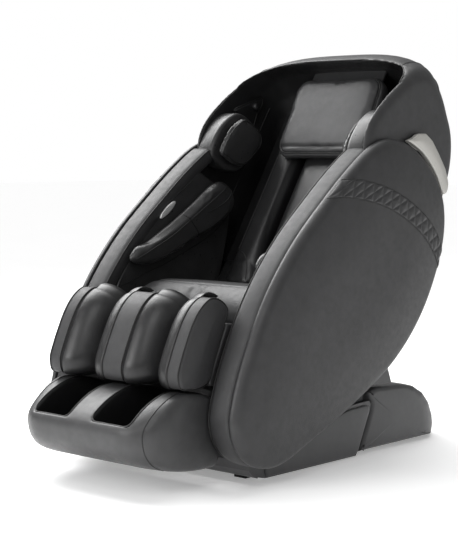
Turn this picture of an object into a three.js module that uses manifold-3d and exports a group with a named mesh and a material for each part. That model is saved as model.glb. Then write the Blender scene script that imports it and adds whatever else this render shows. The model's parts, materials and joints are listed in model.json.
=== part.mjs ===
// Zero-gravity massage chair: a steel base with plastic covers, a carriage that slides forward as the
// back reclines, a tilting seat between two padded side pods, a hooded backrest with a massage carriage
// on two rails, and a legrest whose foot unit runs out as it lifts.
// Millimetres. +Z is up, the sitter faces -Y, +X is the sitter's left. The origin is on the floor, at the
// middle of the chair's length and width.
import * as THREE from 'three';
import { mergeVertices } from 'three/addons/utils/BufferGeometryUtils.js';
import Module from 'manifold-3d';

const wasm = await Module();
wasm.setup();

// ---- driving dimensions -------------------------------------------------------------------------
const GAP = 0.4; // air between touching pieces
const SIDES = [['left', 1], ['right', -1]];

// Hinge lines, as [y, z]
const RECLINE_AXIS = [95, 330];
const TILT_AXIS = [215, 300];
const LEG_AXIS = [-290, 440];
const SHAFT_R = 12;
const SHAFT_BORE = 12.6;
const LEG_SHAFT_R = 8;
const ACROSS = 300; // half length of a tool that bores through the whole width

// Layers across the chair, as distances from its middle plane
const SEAT_HALF = 256;
const PANEL_IN = 283;
const PANEL_OUT = 298;
const WING_IN = 306;
const WING_OUT = 358;
const SHELL_IN = 361;
const SHELL_OUT = 394;
const BASE_HALF = 298;
const BASE_WALL = 12;

// Backrest: its own frame starts here and leans back by BACK_LEAN
const BACK_ORIGIN = [135, 500];
const BACK_LEAN = THREE.MathUtils.degToRad(33);
const BACK_LENGTH = 790;
const CROWN_ARCH = 56;
const CENTRE_HALF = 97;
const BOLSTER_OUT = 224;

// Massage mechanism, in the backrest's frame
const RAIL_X = 104;
const RAIL_DEPTH = 112;
const RAIL_R = 8;
const RAIL_SPAN = [30, 690];
const KNEAD_X = 52;
const KNEAD_V = 240;
const ROLLER_R = 22;
const ROLLER_REACH = 55;
const ROLLER_DEPTH = 62;
const ROLLER_AXLE_R = 5;
const KNEAD_SHAFT_DEPTH = 100;
const KNEAD_SHAFT_R = 6;

// Legrest
const LEG_LEAN = THREE.MathUtils.degToRad(26.7);
const CALF_HALF = 274;
const LOBE_HALF = 44;
const SIDE_LOBE_IN = 214;
const FOOT_HALF = 268;
const WELL_IN = 48;
const WELL_OUT = 192;
const LEG_ROD_X = 232;
const LEG_ROD_R = 8;
const SOLE_AXIS = [-560, 98];
const SOLE_SHAFT_R = 6;
const SOLE_WHEEL_R = 17;

// Transport wheels
const WHEEL_X = 182;
const WHEEL_R = 24;
const WHEEL_AXIS = [645, 28];
const WHEEL_HALF = 12;
const WHEEL_STUB_R = 6;

// Recline actuator: its fixed pivot under the seat and the crank pin below the recline axis
const ACTUATOR_PIVOT = [-190, 338];
const CRANK_PIN = [122.7, 249.6];
const ACTUATOR_PIN_R = 7;
const CRANK_PIN_R = 8;
const TUBE_R = 22;
const ROD_R = 9;

// ---- finishes -----------------------------------------------------------------------------------
const FINISHES = {
  leather: [0x3d3d3f, 0.5, 0.0],
  innerLeather: [0x1c1c1d, 0.55, 0.0],
  basePlastic: [0x55555a, 0.5, 0.0],
  darkPlastic: [0x232325, 0.6, 0.0],
  trim: [0xb8b4ac, 0.3, 0.9],
  steel: [0x8b8f94, 0.4, 0.9],
  paintedSteel: [0x2d2f33, 0.55, 0.4],
  rubber: [0x161616, 0.9, 0.0],
};

function piece(name, geometry, finish) {
  const [color, roughness, metalness] = FINISHES[finish];
  const mesh = new THREE.Mesh(geometry, new THREE.MeshStandardMaterial({ color, roughness, metalness }));
  mesh.name = name;
  return mesh;
}

// ---- solids -------------------------------------------------------------------------------------
const ALONG_X = new THREE.Matrix4().set(0, 0, 1, 0, 1, 0, 0, 0, 0, 1, 0, 0, 0, 0, 0, 1);

// A side outline of [y, z] points, extruded from x0 to x1, with its long edges cut back by bevel.
function slab(outline, x0, x1, bevel = 0) {
  const shape = new THREE.Shape(outline.map(([y, z]) => new THREE.Vector2(y, z)));
  const geometry = new THREE.ExtrudeGeometry(shape, {
    depth: x1 - x0 - 2 * bevel,
    bevelEnabled: bevel > 0,
    bevelThickness: bevel,
    bevelSize: bevel,
    bevelOffset: -bevel,
    bevelSegments: 2,
    curveSegments: 8,
  });
  geometry.applyMatrix4(ALONG_X);
  geometry.translate(x0 + bevel, 0, 0);
  return geometry;
}

// The same slab on either side of the middle plane: side is 1 on the sitter's left, -1 on the right.
function sideSlab(side, outline, near, far, bevel = 0) {
  return side > 0 ? slab(outline, near, far, bevel) : slab(outline, -far, -near, bevel);
}

function block(x0, x1, y0, y1, z0, z1) {
  const geometry = new THREE.BoxGeometry(x1 - x0, y1 - y0, z1 - z0);
  geometry.translate((x0 + x1) / 2, (y0 + y1) / 2, (z0 + z1) / 2);
  return geometry;
}

// A bar along X.
function barX(radius, x0, x1, y, z, sides = 20) {
  const geometry = new THREE.CylinderGeometry(radius, radius, x1 - x0, sides);
  geometry.rotateZ(Math.PI / 2);
  geometry.translate((x0 + x1) / 2, y, z);
  return geometry;
}

// A bar from one point to another, as [x, y, z].
function barBetween(radius, from, to, sides = 16) {
  const a = new THREE.Vector3(...from);
  const b = new THREE.Vector3(...to);
  const direction = b.clone().sub(a);
  const geometry = new THREE.CylinderGeometry(radius, radius, direction.length(), sides);
  geometry.applyQuaternion(
    new THREE.Quaternion().setFromUnitVectors(new THREE.Vector3(0, 1, 0), direction.normalize()));
  geometry.translate(...a.add(b).multiplyScalar(0.5).toArray());
  return geometry;
}

// A closed body through rings of points, with a flat fan on each end.
function loft(rings) {
  const count = rings[0].length;
  const positions = rings.flat(2);
  const index = [];
  for (let r = 0; r + 1 < rings.length; r += 1) {
    for (let i = 0; i < count; i += 1) {
      const j = (i + 1) % count;
      const [a, b] = [r * count + i, r * count + j];
      index.push(a, b, b + count, a, b + count, a + count);
    }
  }
  for (const [ring, flip] of [[0, true], [rings.length - 1, false]]) {
    const middle = positions.length / 3;
    for (const axis of [0, 1, 2]) {
      positions.push(rings[ring].reduce((sum, point) => sum + point[axis], 0) / count);
    }
    for (let i = 0; i < count; i += 1) {
      const [a, b] = [ring * count + i, ring * count + ((i + 1) % count)];
      index.push(...(flip ? [b, a, middle] : [a, b, middle]));
    }
  }
  const geometry = new THREE.BufferGeometry();
  geometry.setAttribute('position', new THREE.Float32BufferAttribute(positions, 3));
  geometry.setIndex(index);
  return geometry;
}

function solid(geometry) {
  const bare = new THREE.BufferGeometry();
  bare.setAttribute('position', geometry.getAttribute('position').clone());
  if (geometry.index) bare.setIndex(geometry.index.clone());
  const merged = mergeVertices(bare, 1e-3);
  return new wasm.Manifold(new wasm.Mesh({
    numProp: 3,
    vertProperties: new Float32Array(merged.getAttribute('position').array),
    triVerts: new Uint32Array(merged.index.array),
  }));
}

function surface(manifold) {
  const mesh = manifold.getMesh();
  const geometry = new THREE.BufferGeometry();
  geometry.setAttribute('position', new THREE.BufferAttribute(new Float32Array(mesh.vertProperties), 3));
  geometry.setIndex(new THREE.BufferAttribute(new Uint32Array(mesh.triVerts), 1));
  return geometry;
}

function cut(body, ...tools) {
  return surface(tools.reduce((left, tool) => left.subtract(solid(tool)), solid(body)));
}

function join(first, ...others) {
  return surface(others.reduce((sum, other) => sum.add(solid(other)), solid(first)));
}

function common(a, b) {
  return surface(solid(a).intersect(solid(b)));
}

// ---- outlines -----------------------------------------------------------------------------------
// Evenly spaced points of a smooth line through hand-set [y, z] points.
function spacedPoints(points, count, closed) {
  const through = points.map(([y, z]) => new THREE.Vector3(y, z, 0));
  const curve = new THREE.CatmullRomCurve3(through, closed, 'centripetal');
  return curve.getSpacedPoints(count).map((p) => [p.x, p.y]);
}

function smooth(points, count) {
  return spacedPoints(points, count, true).slice(0, count);
}

function smoothLine(points, count) {
  return spacedPoints(points, count, false);
}

// The outline moved inward by a distance. The outline runs counter-clockwise seen from +X.
function inset(outline, distance) {
  const count = outline.length;
  return outline.map(([y, z], i) => {
    const [y0, z0] = outline[(i + count - 1) % count];
    const [y1, z1] = outline[(i + 1) % count];
    const length = Math.hypot(y1 - y0, z1 - z0);
    return [y - (distance * (z1 - z0)) / length, z + (distance * (y1 - y0)) / length];
  });
}

// An open line moved sideways by a distance, to the left of its direction.
function offsetLine(line, distance) {
  return line.map(([y, z], i) => {
    const [y0, z0] = line[Math.max(i - 1, 0)];
    const [y1, z1] = line[Math.min(i + 1, line.length - 1)];
    const length = Math.hypot(y1 - y0, z1 - z0);
    return [y - (distance * (z1 - z0)) / length, z + (distance * (y1 - y0)) / length];
  });
}

// A rectangle with round corners, centred on the origin.
function roundedRectangle(width, height, radius, segments = 5) {
  const points = [];
  const corners = [[1, -1, -90], [1, 1, 0], [-1, 1, 90], [-1, -1, 180]];
  for (const [sx, sy, start] of corners) {
    for (let i = 0; i <= segments; i += 1) {
      const angle = THREE.MathUtils.degToRad(start + (90 * i) / segments);
      points.push([
        sx * (width / 2 - radius) + radius * Math.cos(angle),
        sy * (height / 2 - radius) + radius * Math.sin(angle),
      ]);
    }
  }
  return points;
}

// Side pod, seen from the side, from the rear top round the front to the rear bottom
const POD_POINTS = [
  [246, 981], [168, 962], [48, 887], [-60, 803], [-192, 690], [-305, 560], [-384, 432], [-448, 290],
  [-468, 190], [-436, 112], [-352, 58], [-264, 55], [-152, 96], [-12, 150], [134, 216], [261, 285],
  [366, 369], [450, 470], [515, 590], [545, 690], [537, 785], [495, 862], [411, 935], [330, 971],
];
const POD_OUTLINE = smooth(POD_POINTS, 56);

// Front and top edge of the pod, which the leather band covers
const BAND_LINE = smoothLine([[140, 950], ...POD_POINTS.slice(2, 12)], 30);

// ---- base ---------------------------------------------------------------------------------------
const FRAME_Z = [14, 50];
const FRAME_RAIL = [205, 245];
const FRAME_ENDS = [-268, 600];
const CROSS_BARS = [FRAME_ENDS[0], 80, FRAME_ENDS[1] - 40];
const GUIDE = [-150, 235];
const GUIDE_TOP = 82;

function baseFrame() {
  const [near, far] = FRAME_RAIL;
  const parts = [];
  for (const y of CROSS_BARS) {
    parts.push(block(-far, far, y, y + 40, ...FRAME_Z));
  }
  for (const side of [1, -1]) {
    const across = side > 0 ? [near, far] : [-far, -near];
    parts.push(block(...across, ...FRAME_ENDS, ...FRAME_Z));
    parts.push(block(...across, ...GUIDE, FRAME_Z[1] - 1, GUIDE_TOP));
    const plate = side * (WHEEL_X - 20);
    parts.push(block(plate - 4, plate + 4, FRAME_ENDS[1] - 10, WHEEL_AXIS[0] + 12, 16, 40));
    const stub = side > 0 ? [plate, WHEEL_X + 18] : [-WHEEL_X - 18, plate];
    parts.push(barX(WHEEL_STUB_R, ...stub, ...WHEEL_AXIS, 16));
  }
  return join(...parts);
}

// The low side wall of the base, from its nose to the slanted joint with the rear cover
const SIDE_COVER = [
  [-318, 62], [-312, 36], [-292, 16], [-240, 4], [190, 4], [204, 21], [262, 138], [266, 156], [258, 167],
  [238, 167], [150, 163], [70, 146], [-60, 106], [-180, 76], [-262, 66],
];
const BASE_NOSE = [[-318, 62], [-312, 36], [-292, 16], [-272, 8], [-272, 40], [-268, 52], [-262, 66]];

// The rear box of the base
const REAR_COVER = [
  [694, 12], [705, 40], [700, 70], [670, 112], [622, 148], [540, 178], [430, 198], [300, 204], [262, 198],
  [262, 184], [276, 160], [272, 136], [214, 12],
];
const INLET = [-23, 23, 31, 65];
const SWITCH = [37, 63, 35, 61];

function baseFrontCover() {
  const walls = [1, -1].map((side) => sideSlab(side, SIDE_COVER, BASE_HALF - BASE_WALL, BASE_HALF));
  return join(slab(BASE_NOSE, -BASE_HALF + 1, BASE_HALF - 1), ...walls);
}

// The rear cover's plan, with round corners, as a column to cut the side outline with
const REAR_PLAN = { start: 200, end: 720, corner: 150, depth: 300 };

function rearPlan(wall) {
  const { start, corner, depth } = REAR_PLAN;
  const half = BASE_HALF - wall;
  const end = REAR_PLAN.end - wall;
  const plan = new THREE.Shape();
  plan.moveTo(-half, start);
  plan.lineTo(half, start);
  plan.lineTo(half, end - corner);
  plan.quadraticCurveTo(half, end - 12, half - corner, end);
  plan.lineTo(corner - half, end);
  plan.quadraticCurveTo(-half, end - 12, -half, end - corner);
  const column = new THREE.ExtrudeGeometry(plan, { depth, bevelEnabled: false, curveSegments: 8 });
  column.translate(0, 0, -20);
  return column;
}

function baseRearCover() {
  const outer = common(slab(REAR_COVER, -BASE_HALF, BASE_HALF), rearPlan(0));
  const inner = inset(REAR_COVER, BASE_WALL).map(([y, z]) => [y, z < 30 ? -10 : z]);
  const core = common(slab(inner, -BASE_HALF, BASE_HALF), rearPlan(BASE_WALL));
  return cut(
    outer,
    core,
    block(-262, 262, 190, 300, 0, 62),
    block(INLET[0] - GAP, INLET[1] + GAP, 670, 720, INLET[2] - GAP, INLET[3] + GAP),
    block(SWITCH[0] - 1, SWITCH[1] + 1, 670, 720, SWITCH[2] - 4, SWITCH[3] + 4),
  );
}

function airPump() {
  const body = block(20, 180, 340, 470, FRAME_Z[1] + GAP, 132);
  return join(body, barX(26, 30, 170, 488, 84, 18));
}

function base() {
  const group = new THREE.Group();
  group.add(piece('base_frame', baseFrame(), 'paintedSteel'));
  group.add(piece('base_front_cover', baseFrontCover(), 'basePlastic'));
  group.add(piece('base_rear_cover', baseRearCover(), 'basePlastic'));
  for (const [name, side] of SIDES) {
    const middle = side * (FRAME_RAIL[0] + FRAME_RAIL[1]) / 2;
    group.add(piece(`rubber_skid_${name}`,
      block(middle - 22, middle + 22, FRAME_ENDS[0], FRAME_ENDS[1] - 20, 0, FRAME_Z[0] - GAP), 'rubber'));
    const tyre = barX(WHEEL_R, side * WHEEL_X - WHEEL_HALF, side * WHEEL_X + WHEEL_HALF, ...WHEEL_AXIS, 28);
    const bore = barX(WHEEL_STUB_R + 0.6, -ACROSS, ACROSS, ...WHEEL_AXIS, 16);
    group.add(piece(`transport_wheel_${name}`, cut(tyre, bore), 'rubber'));
  }
  group.add(piece('power_inlet', block(INLET[0], INLET[1], 682, 702, INLET[2], INLET[3]), 'darkPlastic'));
  group.add(piece('rocker_switch',
    block(SWITCH[0], SWITCH[1], 688, 706, SWITCH[2], SWITCH[3]), 'darkPlastic'));
  group.add(piece('control_box', block(-180, -20, 330, 550, FRAME_Z[1] + GAP, 120), 'paintedSteel'));
  group.add(piece('air_pump', airPump(), 'darkPlastic'));
  return group;
}

// ---- sliding carriage ---------------------------------------------------------------------------
// Side plate with the tilt pivot at its top; its foot stays in front of the rear cover
const PIVOT_PLATE = [
  [-40, 84], [205, 84], [236, 150], [246, 206], [350, 210], [326, 268], [290, 322], [215, 342], [168, 316],
  [120, 170], [-40, 112],
];
const PLATE_X = [264, 284];

function slideCarriage() {
  const bars = [];
  for (const side of [1, -1]) {
    bars.push(sideSlab(side, PIVOT_PLATE, ...PLATE_X));
    bars.push(sideSlab(side, [[-40, 84], [205, 84], [205, 108], [-40, 108]], 200, PLATE_X[0] + 1));
  }
  bars.push(block(-201, 201, -40, 0, 84, 108));
  const frame = join(block(-201, 201, 165, 205, 84, 108), ...bars);
  const bore = barX(SHAFT_R + 1, -ACROSS, ACROSS, ...TILT_AXIS, 24);
  return cut(frame, bore);
}

function carriage() {
  const group = new THREE.Group();
  group.add(piece('slide_carriage', slideCarriage(), 'paintedSteel'));
  group.add(piece('tilt_shaft', barX(SHAFT_R, -280, 280, ...TILT_AXIS, 24), 'steel'));
  return group;
}

// ---- seat ---------------------------------------------------------------------------------------
const SEAT_TOP = [
  [-250, 400], [-258, 440], [-257, 478], [-246, 508], [-222, 532], [-188, 543], [-120, 544], [-20, 534],
  [60, 522], [112, 512], [124, 498], [120, 400],
];
const SEAT_RAIL = [[-240, 372], [118, 372], [118, 399.6], [-240, 399.6]];
const LEG_LUG = [
  [-239, 372], [-239, 399.6], [-263, 399.6], [-266, 440], [-276, 450], [-292, 456], [-304, 445], [-303, 432],
  [-262, 372],
];
const REAR_LUG = [
  [40, 373], [117, 399.6], [150, 352], [226, 322], [238, 300], [228, 282], [205, 278], [130, 300], [95, 306],
  [66, 322], [56, 345],
];
const PANEL_BRACKET = [[-170, 374], [-60, 374], [-60, 396], [-170, 396]];
const ACTUATOR_LUG = [[-206, 322], [-174, 322], [-174, 360], [-200, 380], [-206, 380]];
const SEAT_RAIL_X = [226, 242];

function seatFrame() {
  const parts = [];
  for (const side of [1, -1]) {
    for (const outline of [SEAT_RAIL, LEG_LUG, REAR_LUG]) {
      parts.push(sideSlab(side, outline, ...SEAT_RAIL_X));
    }
    parts.push(sideSlab(side, PANEL_BRACKET, SEAT_RAIL_X[1] - 1, PANEL_IN - GAP));
    parts.push(sideSlab(side, ACTUATOR_LUG, 15, 24));
  }
  parts.push(block(-230, 230, 20, 60, 372, 399.6));
  parts.push(block(-230, 230, -236, -196, 373, 399.6));
  parts.push(barX(ACTUATOR_PIN_R, -23, 23, ...ACTUATOR_PIVOT, 16));
  return cut(
    join(...parts),
    barX(SHAFT_BORE, -ACROSS, ACROSS, ...TILT_AXIS, 24),
    barX(SHAFT_BORE, -ACROSS, ACROSS, ...RECLINE_AXIS, 24),
    barX(LEG_SHAFT_R + 0.6, -ACROSS, ACROSS, ...LEG_AXIS, 20),
  );
}

// Padded outer shell of a side pod: a dish whose rim turns inward
function podShell(side) {
  const profile = [
    [SHELL_IN, 6], [SHELL_IN + 13, 0], [SHELL_OUT - 10, 9], [SHELL_OUT - 3, 34], [SHELL_OUT, 90],
  ];
  const rings = profile.map(([x, d]) => inset(POD_OUTLINE, d).map(([y, z]) => [side * x, y, z]));
  if (side < 0) rings.reverse();
  return loft(rings);
}

function podBand(side) {
  const line = offsetLine(BAND_LINE, 4);
  const inner = offsetLine(BAND_LINE, 22);
  return sideSlab(side, [...line, ...inner.reverse()], 302, SHELL_IN - GAP);
}

// Inner wall of a pod, which the sitter's arm lies along
const ARM_PANEL = [
  [82, 884], [36, 850], [-56, 778], [-138, 706], [-206, 632], [-262, 556], [-306, 470], [-366, 360],
  [-404, 250], [-396, 150], [-340, 104], [-262, 104], [-130, 134], [-12, 184], [120, 246], [150, 330],
  [168, 440], [214, 560], [246, 680], [254, 760], [236, 806],
];
const FOREARM_PAD = [
  [-178, 590], [-196, 606], [-184, 640], [-120, 676], [-20, 735], [50, 778], [110, 800], [170, 790],
  [204, 752], [196, 716], [150, 676], [60, 634], [-40, 596], [-130, 578],
];

// Blank oval badge, turned to follow the pod's front edge
const BADGE = { at: [-76, 762], size: [86, 22], lean: THREE.MathUtils.degToRad(37) };

function ellipseOutline({ at, size, lean }, count = 28) {
  const points = [];
  for (let i = 0; i < count; i += 1) {
    const angle = (2 * Math.PI * i) / count;
    const a = (size[0] / 2) * Math.cos(angle);
    const b = (size[1] / 2) * Math.sin(angle);
    points.push([
      at[0] + a * Math.cos(lean) - b * Math.sin(lean),
      at[1] + a * Math.sin(lean) + b * Math.cos(lean),
    ]);
  }
  return points;
}

// The recline actuator: a point on its line, measured from its fixed pivot
const ACTUATOR_LENGTH = Math.hypot(CRANK_PIN[0] - ACTUATOR_PIVOT[0], CRANK_PIN[1] - ACTUATOR_PIVOT[1]);

function actuatorPoint(along, x = 0) {
  const share = along / ACTUATOR_LENGTH;
  return [x, ...ACTUATOR_PIVOT.map((from, axis) => from + share * (CRANK_PIN[axis] - from))];
}

function actuatorBody() {
  const tube = barBetween(TUBE_R, actuatorPoint(24), actuatorPoint(196), 20);
  const eye = barX(15, -12, 12, ...ACTUATOR_PIVOT, 20);
  const neck = barBetween(9, actuatorPoint(5), actuatorPoint(30), 12);
  return cut(
    join(tube, eye, neck),
    barX(ACTUATOR_PIN_R + 0.6, -30, 30, ...ACTUATOR_PIVOT, 16),
    barBetween(ROD_R + 0.8, actuatorPoint(62), actuatorPoint(220), 16),
  );
}

function actuatorRod() {
  const rod = barBetween(ROD_R, actuatorPoint(130), actuatorPoint(ACTUATOR_LENGTH - 12), 16);
  const eye = barX(20, -8, 8, ...CRANK_PIN, 20);
  return cut(join(rod, eye), barX(CRANK_PIN_R + 5, -30, 30, ...CRANK_PIN, 20));
}

// Metal-look trim along the pod's rear top edge
const TRIM_LOW = smoothLine([[330, 971], [411, 935], [495, 862], [537, 785]], 14);
const TRIM_HIGH = [
  [586, 806], [584, 848], [556, 888], [514, 938], [476, 980], [452, 996], [417, 1000], [372, 986],
];

function seat() {
  const group = new THREE.Group();
  group.add(piece('seat_frame', seatFrame(), 'paintedSteel'));
  group.add(piece('seat_cushion', slab(SEAT_TOP, -SEAT_HALF, SEAT_HALF, 14), 'leather'));
  group.add(piece('recline_shaft', barX(SHAFT_R, -252, 252, ...RECLINE_AXIS, 24), 'steel'));
  group.add(piece('legrest_shaft', barX(LEG_SHAFT_R, -250, 250, ...LEG_AXIS, 20), 'steel'));
  for (const [name, side] of SIDES) {
    group.add(piece(`pod_shell_${name}`, podShell(side), 'leather'));
    group.add(piece(`pod_band_${name}`, podBand(side), 'leather'));
    group.add(piece(`arm_panel_${name}`, sideSlab(side, ARM_PANEL, PANEL_IN, PANEL_OUT), 'innerLeather'));
    group.add(piece(`forearm_pad_${name}`,
      sideSlab(side, FOREARM_PAD, 244, PANEL_IN - GAP, 12), 'innerLeather'));
    const trim = [...offsetLine(TRIM_LOW, 7), ...TRIM_HIGH];
    group.add(piece(`trim_${name}`, sideSlab(side, trim, SHELL_IN, SHELL_IN + 14), 'trim'));
  }
  group.add(piece('badge', sideSlab(-1, ellipseOutline(BADGE), PANEL_IN - 4, PANEL_IN - GAP), 'trim'));
  group.add(piece('recline_actuator_body', actuatorBody(), 'paintedSteel'));
  group.add(piece('recline_actuator_rod', actuatorRod(), 'steel'));
  return group;
}

// ---- backrest -----------------------------------------------------------------------------------
// Side outline of the hooded shell, in the backrest's frame: [depth, length]
const HOOD_OUTER = [
  [-84, 110], [-118, 190], [-164, 300], [-196, 385], [-217, 440], [-222, 520], [-202, 610], [-162, 696],
  [-136, 756], [-112, 794], [-66, 810], [20, 804], [94, 772], [154, 702], [202, 604], [230, 500],
  [234, 380], [214, 272], [176, 190], [84, 136],
];

// Outer body of the hood: the side outline, arched upward between the sides and drawn in at each side
function hoodBody(outline) {
  const stations = [
    [WING_OUT, 24], [WING_OUT - 14, 7], [WING_OUT - 40, 0], [WING_OUT * 0.62, 0], [WING_OUT * 0.3, 0],
  ];
  const ring = (x, drawnIn) => {
    const arch = CROWN_ARCH * (1 - (x / WING_OUT) ** 2);
    return inset(outline, drawnIn).map(([y, z]) => {
      const share = THREE.MathUtils.smoothstep(z, 520, 830);
      return [x, y, z + arch * share];
    });
  };
  const right = stations.map(([x, drawnIn]) => ring(-x, drawnIn));
  const left = stations.map(([x, drawnIn]) => ring(x, drawnIn)).reverse();
  return loft([...right, ...left]);
}

function backShell() {
  const outline = smooth(HOOD_OUTER, 44).reverse();
  const outer = hoodBody(outline);
  const cavity = [
    [-400, -60], [-400, 780], [-90, 790], [-10, 790], [66, 764], [130, 694], [180, 596], [212, 500],
    [218, 380], [196, 278], [160, 204], [126, 164], [126, -60],
  ];
  return cut(outer, slab(cavity, -WING_IN, WING_IN));
}

// Panel behind the cushions, with the slot that the massage rollers work through, the ears that turn on
// the recline shaft, and the crank that the actuator pushes
const EAR = [
  [44, -182], [74, -182], [80, -150], [92, -60], [92, 110], [63, 110], [63, -8], [56, -60], [40, -150],
];
const CRANK = [
  [112, -232], [138, -226], [144, -206], [84, -140], [92, -60], [92, 110], [63, 110], [56, -60], [38, -160],
  [48, -186],
];

function backLocal([y, z]) {
  const [dy, dz] = [y - BACK_ORIGIN[0], z - BACK_ORIGIN[1]];
  const [c, s] = [Math.cos(BACK_LEAN), Math.sin(BACK_LEAN)];
  return [dy * c - dz * s, dy * s + dz * c];
}

function backSurround() {
  const plate = block(-WING_IN + 1, WING_IN - 1, 62, 74, 92, 742);
  const parts = [barX(CRANK_PIN_R, -22, 22, ...backLocal(CRANK_PIN), 16)];
  for (const side of [1, -1]) {
    parts.push(sideSlab(side, EAR, 208, 220));
    parts.push(sideSlab(side, CRANK, 12, 22));
  }
  const slot = block(-138, -24, 40, 100, 60, 640);
  const otherSlot = block(24, 138, 40, 100, 60, 640);
  const bore = barX(SHAFT_BORE, -ACROSS, ACROSS, ...backLocal(RECLINE_AXIS), 24);
  return cut(join(plate, ...parts), slot, otherSlot, bore);
}

// A pad in the backrest's frame, from v0 to v1 along it, with rounded edges
function backPad(x0, x1, depth0, depth1, v0, v1, round) {
  const outline = roundedRectangle(depth1 - depth0, v1 - v0, round, 3)
    .map(([y, z]) => [y + (depth0 + depth1) / 2, z + (v0 + v1) / 2]);
  return slab(outline, x0, x1, round * 0.6);
}

// Shoulder pad housing and pad, in the backrest's frame
const SHOULDER = [-132, 470];
const SHOULDER_FACE = 262;

// Speaker behind the lining, above the shoulder pad: [depth, length]
const SPEAKER = [-74, 676];
const SPEAKER_R = 26;
const SPEAKER_IN = 286;

// Pillow: its middle as [depth, length], then its depth, length and half width
const PILLOW_AT = [-49, 636];
const PILLOW_SIZE = [74, 262];
const PILLOW_HALF = 176;

function shoulderPad(side, width, height, near, far, round) {
  const outline = roundedRectangle(width, height, width * 0.34, 5)
    .map(([y, z]) => [y + SHOULDER[0], z + SHOULDER[1]]);
  return sideSlab(side, outline, near, far, round);
}

function speaker(side) {
  const span = side > 0 ? [SPEAKER_IN, WING_IN - GAP] : [GAP - WING_IN, -SPEAKER_IN];
  return barX(SPEAKER_R, ...span, ...SPEAKER, 24);
}

// The two rails, tied by a cross bar at each end
function backRails() {
  const [low, high] = RAIL_SPAN;
  const rails = [1, -1].map((side) => barBetween(RAIL_R, [side * RAIL_X, RAIL_DEPTH, low],
    [side * RAIL_X, RAIL_DEPTH, high]));
  const ties = [low + 8, high - 8].map((v) => barX(6, -RAIL_X, RAIL_X, RAIL_DEPTH, v, 14));
  return join(rails[0], rails[1], ...ties);
}

function kneadArm(side) {
  const x = side * KNEAD_X;
  const arm = slab([
    [ROLLER_DEPTH - 8, KNEAD_V - ROLLER_REACH - 10], [ROLLER_DEPTH + 12, KNEAD_V - ROLLER_REACH - 10],
    [116, KNEAD_V - 16], [116, KNEAD_V + 16], [ROLLER_DEPTH + 12, KNEAD_V + ROLLER_REACH + 10],
    [ROLLER_DEPTH - 8, KNEAD_V + ROLLER_REACH + 10], [88, KNEAD_V],
  ], x - 5, x + 5);
  const hub = barX(11, x - 5, x + 5, KNEAD_SHAFT_DEPTH, KNEAD_V, 18);
  const bodies = [hub];
  for (const end of [-1, 1]) {
    const from = side > 0 ? x : x - 28;
    bodies.push(barX(ROLLER_AXLE_R, from, from + 28, ROLLER_DEPTH, KNEAD_V + end * ROLLER_REACH, 12));
  }
  const bore = barX(KNEAD_SHAFT_R + 0.5, x - 20, x + 20, KNEAD_SHAFT_DEPTH, KNEAD_V, 16);
  return cut(join(arm, ...bodies), bore);
}

function roller(side, end) {
  const near = KNEAD_X + 7;
  const centre = [ROLLER_DEPTH, KNEAD_V + end * ROLLER_REACH];
  const span = side > 0 ? [near, near + 20] : [-near - 20, -near];
  const bore = barX(ROLLER_AXLE_R + 0.6, -ACROSS, ACROSS, ...centre, 12);
  return cut(barX(ROLLER_R, ...span, ...centre, 24), bore);
}

function massageCarriage() {
  const plate = block(-124, 124, 126, 138, KNEAD_V - 54, KNEAD_V + 60);
  const parts = [];
  for (const side of [1, -1]) {
    parts.push(block(side * RAIL_X - 16, side * RAIL_X + 16, RAIL_DEPTH - 14, 127,
      KNEAD_V - 54, KNEAD_V + 54));
    parts.push(block(side * 22 - 6, side * 22 + 6, 90, 127, KNEAD_V - 12, KNEAD_V + 12));
  }
  parts.push(barX(KNEAD_SHAFT_R, -66, 66, KNEAD_SHAFT_DEPTH, KNEAD_V, 16));
  parts.push(block(-50, 50, 137, 162, KNEAD_V - 24, KNEAD_V + 48));
  const bores = [1, -1].map((side) => barBetween(RAIL_R + 0.6, [side * RAIL_X, RAIL_DEPTH, 0],
    [side * RAIL_X, RAIL_DEPTH, 500]));
  return cut(join(plate, ...parts), ...bores);
}

function backrest() {
  const group = new THREE.Group();
  group.position.set(0, ...BACK_ORIGIN);
  group.rotation.x = -BACK_LEAN;
  group.add(piece('back_shell', backShell(), 'leather'));
  group.add(piece('back_surround', backSurround(), 'innerLeather'));
  group.add(piece('back_centre_pad', backPad(-CENTRE_HALF, CENTRE_HALF, 2, 24, 14, BACK_LENGTH - 30, 6),
    'innerLeather'));
  const pillow = roundedRectangle(...PILLOW_SIZE, 26, 4)
    .map(([y, z]) => [y + PILLOW_AT[0], z + PILLOW_AT[1]]);
  group.add(piece('pillow', slab(pillow, -PILLOW_HALF, PILLOW_HALF, 20), 'leather'));
  group.add(piece('back_rails', backRails(), 'steel'));
  group.add(piece('massage_carriage', massageCarriage(), 'darkPlastic'));
  for (const [name, side] of SIDES) {
    const across = side > 0 ? [CENTRE_HALF + 2, BOLSTER_OUT] : [-BOLSTER_OUT, -CENTRE_HALF - 2];
    group.add(piece(`back_bolster_${name}`, backPad(...across, -8, 61, 4, BACK_LENGTH - 30, 16),
      'innerLeather'));
    group.add(piece(`shoulder_housing_${name}`,
      shoulderPad(side, 208, 214, SHOULDER_FACE, WING_IN - GAP, 6), 'darkPlastic'));
    group.add(piece(`shoulder_pad_${name}`,
      shoulderPad(side, 176, 156, 236, SHOULDER_FACE - GAP, 8), 'innerLeather'));
    group.add(piece(`speaker_${name}`, speaker(side), 'darkPlastic'));
    group.add(piece(`knead_arm_${name}`, kneadArm(side), 'steel'));
    for (const [place, end] of [['upper', 1], ['lower', -1]]) {
      group.add(piece(`roller_${place}_${name}`, roller(side, end), 'rubber'));
    }
  }
  return group;
}

// ---- legrest ------------------------------------------------------------------------------------
const ALONG_LEG = [-Math.sin(LEG_LEAN), -Math.cos(LEG_LEAN)];

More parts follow.
